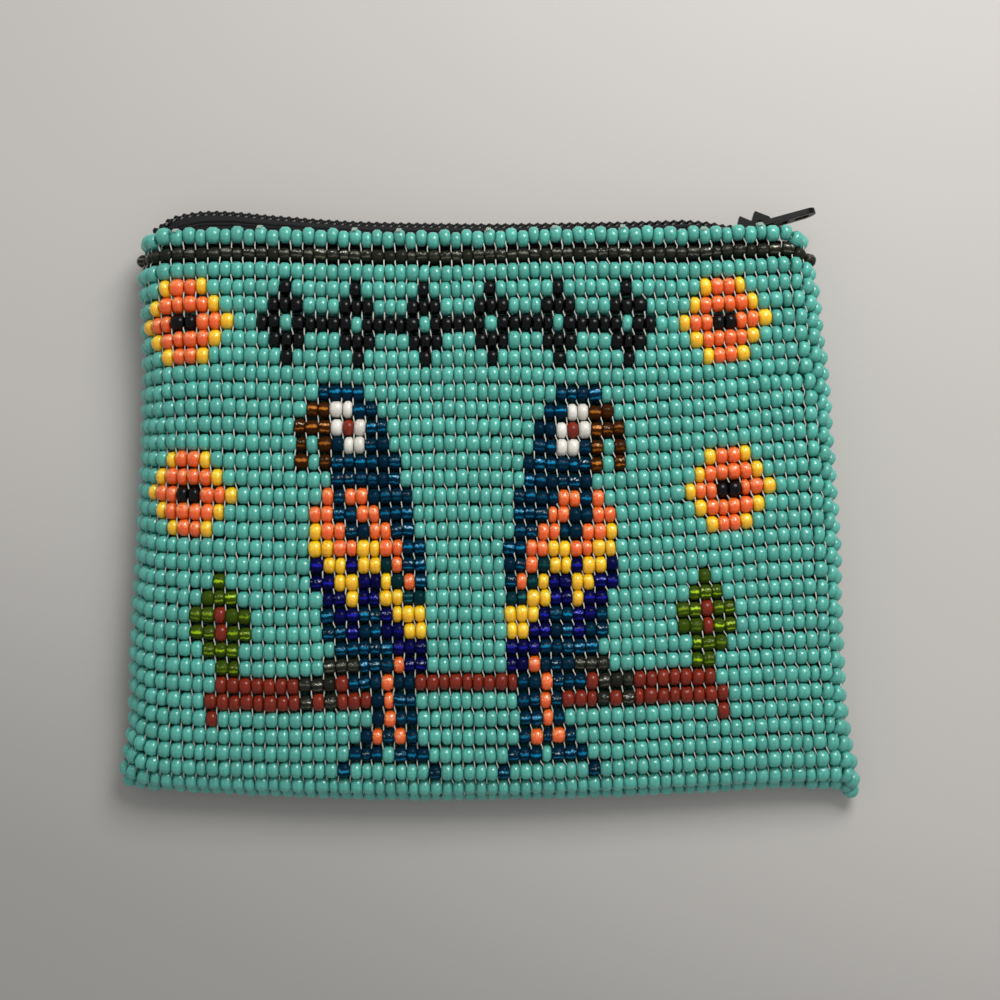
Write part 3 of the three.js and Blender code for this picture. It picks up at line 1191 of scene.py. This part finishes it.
@dataclass
class BeadCloth:
    """A panel of woven beads."""

    name: str
    node: str
    side: Side
    rows: int
    figures: dict[tuple[int, int], Glass]
    seed: int
    fold_row: bool
    columns: tuple[int, int] = (-17, 47)
    anchors: tuple[Anchor, ...] = ()
    sags: tuple[Sag, ...] = ()
    sag_columns: float = 6.0
    sag_rows: float = 4.5
    mouth_lift: float = 0.0
    lift_rows: int = 5
    lift_full: float = 0.6
    lift_middle: float = 0.3
    lift_least: float = 0.35
    bead_diameter: float = 2.42 * MM
    hole_share: float = 0.12
    shoulder_draw: float = 0.08
    cut_share: float = 0.9
    sides: int = 12
    length_spread: float = 0.06
    girth_spread: float = 0.03
    least_length: float = 0.3
    mouth_margin: float = 1.3 * MM
    mouth_stagger: float = 0.17 * MM
    band_row: int = 1
    band_share: float = 0.9
    band_sink: float = 0.35 * MM
    band_reach: float = 0.5 * MM
    band_turn: float = 1.5
    wave: float = 0.16 * MM
    wave_length: float = 43 * MM
    wave_turn: float = 0.14
    loose: float = 0.05 * MM
    tilt: float = 0.06
    split: int = 16
    evening: int = 40
    thread: float = 0.19 * MM
    thread_sides: int = 4
    warp_sunk: float = -0.1
    warp_shown: float = 0.32
    warp_uneven: float = 0.12 * MM
    warp_rise: float = 0.28 * MM
    warp_lean: float = 0.1 * MM
    lean_run: float = 25 * MM
    lean_middle: float = 0.6
    lean_limits: tuple[float, float] = (0.2, 1.0)
    lean_uneven: float = 0.4
    body: str = PURSE

    def __post_init__(self) -> None:
        """Lays out the seats."""
        self.random = np.random.default_rng(self.seed)
        self.seats = self.lay_out()

    def lay_out(self) -> Seats:
        """Places every bead by its run along the cloth.

        Returns:
            The seats, from the mouth row down.
        """
        laid = [self.lay_row(row, index) for index, row in enumerate(self.row_lines())]
        places = np.stack([row for row, _ in laid])
        pitch = np.stack([step for _, step in laid])
        along = unit(np.gradient(places[:, :, :3], axis=1))
        seats = Seats(places[:, :, :3], along, unit(places[:, :, 3:]), pitch, self.side)
        for row, way in enumerate(along):
            shown = seats.shown(row, self.least_length)
            way[:shown[0]] = way[shown[0]]
            way[shown[-1] + 1:] = way[shown[-1]]
        self.sag(seats)
        self.sink_band(seats)
        stagger = np.where(np.arange(places.shape[1]) % 2 == 0, 1.0, -1.0)[:, None]
        seats.centre[0] += seats.upward[0] * stagger * self.mouth_stagger
        return seats

    def row_lines(self) -> np.ndarray:
        """Draws the rows over the panel's face.

        Returns:
            Bead centres by row and by place across the panel, each with its outward direction.
        """
        face, outward = PanelFace(self.node, self.side).grid()
        face[:, :, 2] = evened(face[:, :, 2], self.evening)
        outward = unit(evened(outward, self.evening))
        lanes = np.concatenate([face - outward * self.bead_diameter / 2, outward], axis=2)
        steps = self.rows - 1 if self.fold_row else self.rows
        columns = []
        for lane in np.moveaxis(lanes, 1, 0):
            step = (run_length(lane)[-1] - self.mouth_margin) / steps
            columns.append(resample(lane, self.mouth_margin + step * np.arange(self.rows)))
        return np.stack(columns, axis=1)

    def lay_row(self, row: np.ndarray, index: int) -> tuple[np.ndarray, np.ndarray]:
        """Strings beads of uneven length along one row, with the anchored columns in their places.

        Args:
            row: The row's line of centres, with outward directions.
            index: The row's number from the mouth.

        Returns:
            A seat for each column, and the bead's length there, which is none for a bead round the seam.
        """
        first, last = self.columns
        ends = np.arange(last - first + 2.0)
        ends[1:-1] += self.length_spread * self.random.normal(size=last - first)
        middles = (ends[:-1] + ends[1:]) / 2
        run = run_length(row)
        marks = [np.interp(anchor.column, np.arange(first, last + 1), middles) for anchor in self.anchors]
        wanted = [anchor.at(index, self.rows) for anchor in self.anchors]
        places = list(np.interp(wanted, row[:, 0], run))
        left = right = 0
        if self.anchors:
            left_step = (places[1] - places[0]) / (marks[1] - marks[0])
            right_step = (places[-1] - places[-2]) / (marks[-1] - marks[-2])
            left = max(0, round(marks[0] - places[0] / left_step))
            right = max(0, round(ends[-1] - marks[-1] - (run[-1] - places[-1]) / right_step))
        ends = np.interp(ends, [ends[left], *marks, ends[-1 - right]], [0.0, *places, run[-1]])
        return resample(row, (ends[:-1] + ends[1:]) / 2), np.diff(ends)

    def sag(self, seats: Seats) -> None:
        """Waves the rows, lifts the mouth's right side, lets the cloth sag and turns the beads to follow.

        Args:
            seats: The seats, which are changed in place.
        """
        x = seats.centre[..., :1]
        number = np.arange(self.rows)[:, None, None]
        column = np.arange(self.columns[0], self.columns[1] + 1)[None, :, None]
        rise = self.wave * np.sin(x / self.wave_length * math.tau + self.wave_turn * number)
        right = np.clip(x / (self.lift_full * np.max(x)) + self.lift_middle, self.lift_least, 1.0)
        rise += self.mouth_lift * right * np.clip(1.0 - number / self.lift_rows, 0.0, 1.0)
        for sag in self.sags:
            aside = (column - sag.column) / self.sag_columns
            down = (number - sag.row) / self.sag_rows
            rise += sag.rise * MM * np.exp(-(aside ** 2 + down ** 2))
        seats.centre += seats.upward * rise
        seats.along = unit(seats.along + seats.upward * np.gradient(rise, axis=1) / np.median(seats.pitch))

    def sink_band(self, seats: Seats) -> None:
        """Sinks the dark row between its neighbours and lets its end beads stand out.

        Args:
            seats: The seats, which are changed in place.
        """
        shown = seats.shown(self.band_row, self.least_length)
        inner = (self.band_row, shown[1:-1])
        ends = (self.band_row, shown[[0, -1]])
        apart = np.array([[-1.0], [1.0]]) * self.band_reach
        sideways = np.array([1.0, 0.0, 0.0])
        seats.centre[inner] -= seats.outward[inner] * self.band_sink
        seats.centre[ends] += seats.along[ends] * apart / 2 + sideways * apart
        seats.along[ends] = unit(seats.along[ends] + sideways * self.band_turn)

    def glass_at(self, row: int, column: int) -> Glass:
        """The bead's glass at a row and column."""
        if row == self.band_row:
            return Glass.SMOKE
        return self.figures.get((row, column), Glass.TURQUOISE)

    def groups(self) -> dict[tuple[Glass, str], tuple[np.ndarray, ...]]:
        """Sorts the shown beads into pieces by glass, with the ground in an upper and a lower part.

        Returns:
            The beads' rows and places, by glass and part.
        """
        pitch = self.seats.pitch
        members: dict[tuple[Glass, str], list[tuple[int, int]]] = {}
        for row, place in np.argwhere(pitch > self.least_length * np.median(pitch)):
            glass = self.glass_at(row, place + self.columns[0])
            part = ""
            if glass is Glass.TURQUOISE:
                part = "_upper" if row < self.split else "_lower"
            members.setdefault((glass, part), []).append((row, place))
        return {key: tuple(np.array(found).T) for key, found in members.items()}

    def beads(self, tree: Tree, finishes: dict[Glass, bpy.types.Material]) -> None:
        """Grows the beads, each a little loose, tilted and uneven.

        Args:
            tree: The bead's tree.
            finishes: The glasses' materials.
        """
        seats = self.seats
        count = seats.pitch.shape
        length = float(np.median(seats.pitch))
        wobble = self.random.normal(size=(*count, 3))
        girth = 1.0 + self.girth_spread * self.random.normal(size=count)
        girth[self.band_row] *= self.band_share
        share = np.stack([seats.pitch / length, girth, girth], axis=-1)
        shift = wobble[..., 1:2] * seats.upward - abs(wobble[..., 2:]) * seats.outward
        centre = seats.centre + self.loose * shift
        along = seats.along + self.tilt * wobble[..., :1] * seats.upward
        turns = Seats(centre, along, seats.outward, seats.pitch, self.side).turns()
        tone = self.random.uniform(size=count)
        for (glass, part), index in self.groups().items():
            label = f"{self.name}_{GLASSES[glass].name}{part}_beads"
            mesh = points_mesh(f"{label}_seats", centre[index], {
                "turn": ("QUATERNION", turns[index]),
                "share": ("FLOAT_VECTOR", share[index]),
                "tone": ("FLOAT", tone[index]),
            })
            cut = GLASSES[glass].cut
            piece = tree.grow(label, mesh, {
                "Bead Diameter": self.bead_diameter * (self.cut_share if cut else 1.0),
                "Bead Length": length,
                "Hole Share": self.hole_share,
                "Shoulder Draw": 0.0 if cut else self.shoulder_draw,
                "Sides": self.sides,
                "Finish": finishes[glass],
            })
            settle(piece, self.body, (self.node,))

    def gaps(self, level: float) -> np.ndarray:
        """Points between four neighbouring beads.

        Args:
            level: How far out of the middle of the beads, as a share of their radius.

        Returns:
            Points by row and column.
        """
        raised = self.seats.centre + self.seats.outward * self.bead_diameter / 2 * level
        return (raised[:-1, :-1] + raised[1:, :-1] + raised[:-1, 1:] + raised[1:, 1:]) / 4

    def edges(self) -> np.ndarray:
        """Points between the rows, by row and column."""
        return (self.seats.centre[:-1] + self.seats.centre[1:]) / 2

    def warp(self, tree: Tree, finish: bpy.types.Material) -> None:
        """Grows the warp threads, which show as short slanting lines between the beads.

        Args:
            tree: The thread's tree.
            finish: The thread's material.
        """
        seats = self.seats
        crossing = (seats.centre[:, :-1] + seats.centre[:, 1:]) / 2
        crossing = crossing + seats.outward[:, :-1] * self.bead_diameter / 2 * self.warp_sunk
        gaps = self.gaps(self.warp_shown)
        count = (*gaps.shape[:2], 1)
        gaps = gaps + seats.outward[:-1, :-1] * self.warp_uneven * self.random.normal(size=count)
        slant = np.clip(gaps[..., :1] / self.lean_run + self.lean_middle, *self.lean_limits)
        slant = slant + self.lean_uneven * self.random.normal(size=count)
        reach = seats.upward[:-1, :-1] * self.warp_rise - seats.along[:-1, :-1] * self.warp_lean * slant
        rows = np.stack([crossing[:-1], gaps + reach, gaps - reach], axis=1).reshape(-1, *gaps.shape[1:])
        mesh = lines_mesh(f"{self.name}_warp_lines", list(np.moveaxis(rows, 1, 0)))
        piece = tree.grow(f"{self.name}_warp", mesh, {
            "Thread Diameter": self.thread, "Sides": self.thread_sides, "Finish": finish,
        })
        settle(piece, self.body, ())


@dataclass
class Seams:
    """The pale sewing that closes the sides and holds the cloth to the zip."""

    front: BeadCloth
    back: BeadCloth
    seed: int = 5
    thread: float = 0.24 * MM
    thread_sides: int = 5
    mouth_angles: tuple[float, float] = (28.0, 190.0)
    steps: int = 9
    level: float = 0.5
    edge_level: float = 0.4
    spacing: tuple[int, int] = (4, 9)
    drift: float = 0.2 * MM
    strands: tuple[float, ...] = (-0.9, 0.0, 0.9)
    body: str = PURSE

    def sides(self) -> list[np.ndarray]:
        """Draws stitches over both side edges, one between every two rows.

        Returns:
            The points of each stitch.
        """
        front, back = self.front.gaps(self.level), self.back.gaps(self.level)
        front_edge, back_edge = self.front.edges(), self.back.edges()
        share = np.linspace(0.0, 1.0, self.steps)[:, None]
        lines = []
        for column, way in ((0, -1.0), (-1, 1.0)):
            for row in range(self.front.band_row + 1, len(back)):
                start, end = front[row, column], back[row, column]
                edge = (front_edge[row, column] + back_edge[row, column]) / 2
                edge[0] += way * self.front.bead_diameter / 2 * self.edge_level
                turn = 2 * edge - (start + end) / 2
                lines.append((1 - share) ** 2 * start + 2 * share * (1 - share) * turn + share ** 2 * end)
        return lines

    def mouth(self, cloth: BeadCloth) -> list[np.ndarray]:
        """Draws slanting stitches over some beads of a panel's mouth row.

        Args:
            cloth: The panel.

        Returns:
            The points of each strand.
        """
        random = np.random.default_rng(self.seed)
        seats = cloth.seats
        angle = np.radians(np.linspace(*self.mouth_angles, self.steps))[:, None]
        drift = np.linspace(-self.drift, self.drift, self.steps)[:, None]
        reach = cloth.bead_diameter / 2 + self.thread / 4
        shown = seats.shown(0, cloth.least_length)
        lines = []
        place = shown[0] + self.spacing[0]
        while place <= shown[-1] - self.spacing[0]:
            round_bead = np.cos(angle) * seats.outward[0, place] + np.sin(angle) * seats.upward[0, place]
            for strand in self.strands:
                lean = drift + strand * self.thread
                lines.append(seats.centre[0, place] + seats.along[0, place] * lean + reach * round_bead)
            place += int(random.integers(*self.spacing))
        return lines

    def sew(self, tree: Tree, finish: bpy.types.Material) -> None:
        """Grows all the stitches.

        Args:
            tree: The thread's tree.
            finish: The thread's material.
        """
        work = {
            "side_stitches": self.sides(),
            "mouth_stitches": self.mouth(self.front) + self.mouth(self.back),
        }
        for name, lines in work.items():
            piece = tree.grow(name, lines_mesh(f"{name}_lines", lines), {
                "Thread Diameter": self.thread, "Sides": self.thread_sides, "Finish": finish,
            })
            settle(piece, self.body, ())


@dataclass(frozen=True)
class RunOn:
    """Where a tape runs on past its solid: a step in metres, and a share of the way down to the coil."""

    x: float
    y: float
    sink: float


@dataclass
class Zip:
    """The zip: two ribbed tapes, the closed coil and its sewing."""

    chain: str = "zip_chain"
    tapes: tuple[str, str] = ("zip_tape_front", "zip_tape_back")
    pitch: float = 1.16 * MM
    wire: float = 0.85 * MM
    overlap: float = 0.35 * MM
    slant: float = math.radians(10.0)
    ribs: int = 13
    rib: float = 0.66 * MM
    selvedge: float = 0.8 * MM
    fold: tuple[float, ...] = (0.35, 0.7, 1.0)
    seam_shy: float = 0.5 * MM
    stations: int = 70
    chain_stations: int = 210
    reach: float = 30 * MM
    right_full: float = 0.7
    delay: float = 2.4 * MM
    lift: float = 0.45 * MM
    spill: float = 1.3 * MM
    spill_from: float = 0.5
    hump: float = 0.35 * MM
    tail: float = 0.4 * MM
    tail_step: int = 3
    tab_room: float = 0.75 * MM
    tab_span: tuple[float, float, float] = (28 * MM, 34 * MM, 37.5 * MM)
    tucked: float = 4.4 * MM
    tape_end: RunOn = RunOn(4.5 * MM, -0.5 * MM, 0.0)
    tape_start: tuple[RunOn, ...] = (RunOn(-1.7 * MM, -0.5 * MM, 0.2), RunOn(-3.1 * MM, -1.7 * MM, 0.5))
    sides: int = 6
    sewing_thread: float = 0.26 * MM
    sewing_sides: int = 5
    sewing_from: float = 2.55 * MM
    sewing_share: float = 0.12
    sewing_sunk: float = 0.06 * MM
    sewing_crown: float = 0.12 * MM
    sewing_slant: tuple[float, float, float] = (-0.25 * MM, -0.15 * MM, -0.05 * MM)
    body: str = PURSE

    def __post_init__(self) -> None:
        """Reads the coil's middle line and size from its solid, and carries it on to the slider."""
        tree = solid_of(self.chain)
        low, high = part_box(self.chain)
        z = (low.z + high.z) / 2
        points, depths = [], []
        for x in np.linspace(low.x + self.wire, high.x - self.wire / 2, self.chain_stations):
            outer = tree.ray_cast(Vector((x, high.y + self.reach, z)), Vector((0, -1, 0)))[0]
            inner = tree.ray_cast(Vector((x, low.y - self.reach, z)), Vector((0, 1, 0)))[0]
            points.append((x, (outer.y + inner.y) / 2, z))
            depths.append(outer.y - inner.y)
        self.depth = float(np.median(depths))
        self.width = high.z - low.z
        path = np.array(points)
        right = np.clip(path[:, 0] / (self.right_full * high.x), 0.0, 1.0)
        path[:, 1] = np.interp(path[:, 0] - self.delay * right, path[:, 0], path[:, 1])
        path[:, 1] += self.lift * right
        path[:, 1] -= np.interp(path[:, 0], self.tab_span, (0.0, self.tab_room, 0.0))
        left = np.clip(path[:, 0] / low.x, 0.0, 1.0)
        path[:, 0] -= self.spill * np.clip((left - self.spill_from) / (1.0 - self.spill_from), 0.0, 1.0)
        path[:, 1] += self.hump * left
        tail = path[0] + unit(path[0] - path[self.tail_step]) * self.tail
        self.path = np.concatenate([[tail], path])

    def coil(self, tree: Tree, finish: bpy.types.Material) -> None:
        """Grows both halves of the coil.

        Args:
            tree: The coil turn's tree.
            finish: The nylon's material.
        """
        path = self.path
        length = run_length(path)[-1]
        half_width = self.width / 2 + self.overlap - self.wire / 2
        points, turns = [], []
        # The halves interlock, so the second one starts half a pitch later.
        for half, start in ((1.0, 0.0), (-1.0, 0.5)):
            where = np.arange(self.wire / 2 + start * self.pitch, length, self.pitch)
            places = resample(path, where)
            ways = unit(resample(path, where + self.wire) - resample(path, where - self.wire))
            shift = half * (self.width - half_width - self.wire) / 2
            for place, way in zip(places, ways):
                along = Vector(way)
                turned = Matrix((UP.cross(along), UP, along)).transposed()
                lean = Matrix.Rotation(half * self.slant, 3, "X")
                points.append(place + np.array([0.0, 0.0, shift]))
                turns.append(list((turned @ lean).to_quaternion()))
        mesh = points_mesh("coil_places", np.array(points), {"turn": ("QUATERNION", np.array(turns))})
        piece = tree.grow("zip_coil", mesh, {
            "Turn Width": half_width, "Turn Depth": self.depth - self.wire, "Wire": self.wire,
            "Sides": self.sides, "Finish": finish,
        })
        settle(piece, self.body, (self.chain,))

    def sewing(self, tree: Tree, finish: bpy.types.Material) -> None:
        """Grows the grey sewing that holds the coil to its tapes.

        Args:
            tree: The thread's tree.
            finish: The thread's material.
        """
        path = self.path
        length = run_length(path)[-1]
        lines = []
        for half in (1.0, -1.0):
            for where in np.arange(self.sewing_from, length - self.wire, self.pitch):
                ends = resample(path, where + self.pitch * self.sewing_share * np.array([-1.0, 0.0, 1.0]))
                ends[:, 2] += half * (self.width / 2 - self.sewing_sunk)
                ends[1, 2] += half * self.sewing_crown
                ends[:, 1] += np.array(self.sewing_slant)
                lines.append(ends)
        piece = tree.grow("zip_sewing", lines_mesh("sewing_lines", lines), {
            "Thread Diameter": self.sewing_thread, "Sides": self.sewing_sides, "Finish": finish,
        })
        settle(piece, self.body, ())

    def tape_section(self, solid: BVHTree, x: float, low: Vector, high: Vector) -> np.ndarray:
        """Reads the middle of a tape's solid across the zip.

        Args:
            solid: The tape's faces.
            x: The place along the zip.
            low: The lower corner of the tape's box.
            high: Its upper corner.

        Returns:
            Points from the tape's free edge to its seam.
        """
        points = []
        for y in np.linspace(low.y, high.y, self.stations):
            top = solid.ray_cast(Vector((x, y, high.z + self.rib)), DOWN)[0]
            foot = solid.ray_cast(Vector((x, y, low.z - self.rib)), UP)[0]
            if top is not None and foot is not None:
                points.append((x, y, (top.z + foot.z) / 2))
        return np.array(points)

    def carried(self, point: np.ndarray, step: RunOn) -> np.ndarray:
        """A tape's point carried on past the end of its solid."""
        return point + np.array([step.x, step.y, step.sink * (self.path[0, 2] - point[2])])

    def tape(self, node: str, tree: Tree, finish: bpy.types.Material) -> None:
        """Grows one tape as ribs that run along the zip.

        Args:
            node: The tape's solid.
            tree: The thread's tree.
            finish: The tape's material.
        """
        solid = solid_of(node)
        low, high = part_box(node)
        above = 1.0 if low.z > self.path[0, 2] else -1.0
        lines = [[] for _ in range(self.ribs + len(self.fold))]
        for x in np.linspace(low.x + self.rib / 2, high.x - self.rib / 2, self.stations):
            section = self.tape_section(solid, x, low, high)
            hem = np.interp(x, (0.0, high.x / 2), (self.selvedge, self.rib / 2))
            spread = resample(section, np.linspace(self.rib / 2, run_length(section)[-1] - hem, self.ribs))
            seam_y = np.interp(x, self.path[:, 0], self.path[:, 1]) - self.seam_shy
            seam = np.array([x, seam_y, self.path[0, 2] + above * self.width / 2])
            folded = [spread[-1] + (seam - spread[-1]) * share for share in self.fold]
            for rib, point in zip(lines, [*spread, *folded]):
                rib.append(point)
        for rib in lines:
            if rib[-1][1] < low.y + self.tucked:
                rib.append(self.carried(rib[-1], self.tape_end))
            start = rib[0]
            if start[1] > low.y + self.tucked:
                for step in self.tape_start:
                    rib.insert(0, self.carried(start, step))
        mesh = lines_mesh(f"{node}_lines", [np.array(rib) for rib in lines])
        piece = tree.grow(f"{node}_ribs", mesh, {
            "Thread Diameter": self.rib, "Sides": self.sides, "Finish": finish,
        })
        settle(piece, self.body, (node,))


@dataclass
class Studio:
    """The floor, with a painted shadow towards its front left, the light and the camera, with the scales of
    the floor's noise per metre.
    """

    target: Vector = field(default_factory=lambda: Vector((1.5, -0.06, 10.0)) * MM)
    distance: float = 210 * MM
    tilt: float = math.radians(4.0)
    lens: float = 54.0
    sensor: float = 36.0
    near_clip: float = 10 * MM
    floor_size: float = 2.4
    floor_colour: str = "aeaaa5"
    floor_cloud: str = "b5b1ac"
    # painted shadow: its colour, its slant and where it falls
    floor_painted_shadow: str = "96938e"
    painted_shadow_slant: float = 0.4
    painted_shadow_span: tuple[float, float] = (-90 * MM, -10 * MM)
    cloud_scale: float = 9.0
    grain_scale: float = 900.0
    floor_detail: float = 2.0
    floor_roughness: float = 0.75
    relief: float = 0.1
    relief_depth: float = 0.1 * MM
    key_power: float = 1.0
    key_size: float = 0.16
    key_place: Vector = field(default_factory=lambda: Vector((0.10, 0.20, 0.24)))
    sky: float = 0.54
    sky_colour: tuple[float, float, float, float] = (0.95, 0.97, 1.0, 1.0)

    def floor(self) -> None:
        """Lays the pale floor, with a painted shadow darkening it towards the front and the left."""
        bpy.ops.mesh.primitive_plane_add(size=self.floor_size)
        plane = bpy.context.object
        plane.name = "floor"
        shader = Shader("pale_floor")
        cloud = shader.noise(self.cloud_scale, self.floor_detail)
        grain = shader.noise(self.grain_scale, self.floor_detail)
        base = shader.mix(cloud, linear(self.floor_colour), linear(self.floor_cloud))
        place = shader.node("ShaderNodeTexCoord", out="Object")
        # painted shadow: the floor darkens towards the front left, where the light falls off
        aslant = shader.axis(place, "Y") + shader.axis(place, "X") * self.painted_shadow_slant
        near = 1.0 - aslant.smooth(*self.painted_shadow_span)
        plane.data.materials.append(shader.finish({
            "Base Color": shader.mix(near, base, linear(self.floor_painted_shadow)),
            "Roughness": self.floor_roughness,
            "Normal": shader.bump(grain, self.relief, self.relief_depth),
        }))

    def light(self) -> None:
        """Sets a soft key light above the zip and an even sky."""
        lamp = bpy.data.lights.new("soft_key", "AREA")
        lamp.size = self.key_size
        lamp.energy = self.key_power
        key = bpy.data.objects.new("soft_key", lamp)
        key.location = self.key_place
        key.rotation_euler = (-self.key_place).to_track_quat("-Z", "Y").to_euler()
        bpy.context.scene.collection.objects.link(key)
        world = bpy.data.worlds.new("studio")
        world.use_nodes = True
        background = world.node_tree.nodes["Background"]
        background.inputs["Color"].default_value = self.sky_colour
        background.inputs["Strength"].default_value = self.sky
        bpy.context.scene.world = world
        bpy.context.scene.view_settings.view_transform = "Standard"

    def camera(self) -> None:
        """Stands the camera above the purse, as in the photograph."""
        data = bpy.data.cameras.new("camera")
        data.lens = self.lens
        data.sensor_width = self.sensor
        data.clip_start = self.near_clip
        eye = bpy.data.objects.new("camera", data)
        back = Vector((0.0, -math.sin(self.tilt), math.cos(self.tilt)))
        eye.location = self.target + back * self.distance
        eye.rotation_euler = (self.tilt, 0.0, 0.0)
        bpy.context.scene.collection.objects.link(eye)
        bpy.context.scene.camera = eye


def dress_metal() -> None:
    """Gives the slider and its tab their enamel."""
    enamel = EnamelFinish().material()
    for node in ("slider", "pull_tab"):
        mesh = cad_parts[node].data
        mesh.materials.clear()
        mesh.materials.append(enamel)
        LOG.info("%s: enamelled", node)


def main() -> None:
    """Builds the purse's pieces in order and reports each."""
    logging.basicConfig(level=logging.INFO, format="%(message)s")
    studio = Studio()
    studio.camera()
    studio.floor()
    studio.light()
    bead, thread, coil = bead_tree(), thread_tree(), coil_tree()
    glasses = {glass: finish.material() for glass, finish in GLASSES.items()}
    cream, tape_black = WARP_THREAD.material(), TAPE_YARN.material()
    front = BeadCloth(
        "front", "front_panel", Side.FRONT, rows=34, figures=BeadChart().glass(), seed=11, fold_row=True,
        anchors=FRONT_ANCHORS, sags=FRONT_SAGS, mouth_lift=0.75 * MM,
    )
    back = BeadCloth(
        "back", "back_panel", Side.BACK, rows=33, figures={}, seed=12, fold_row=False, sides=10,
    )
    for cloth in (front, back):
        cloth.beads(bead, glasses)
        cloth.warp(thread, cream)
    Seams(front, back).sew(thread, SEAM_THREAD.material())
    closure = Zip()
    closure.coil(coil, NylonFinish().material())
    closure.sewing(thread, COIL_THREAD.material())
    for node in closure.tapes:
        closure.tape(node, thread, tape_black)
    dress_metal()


if __name__ == "__main__":
    main()
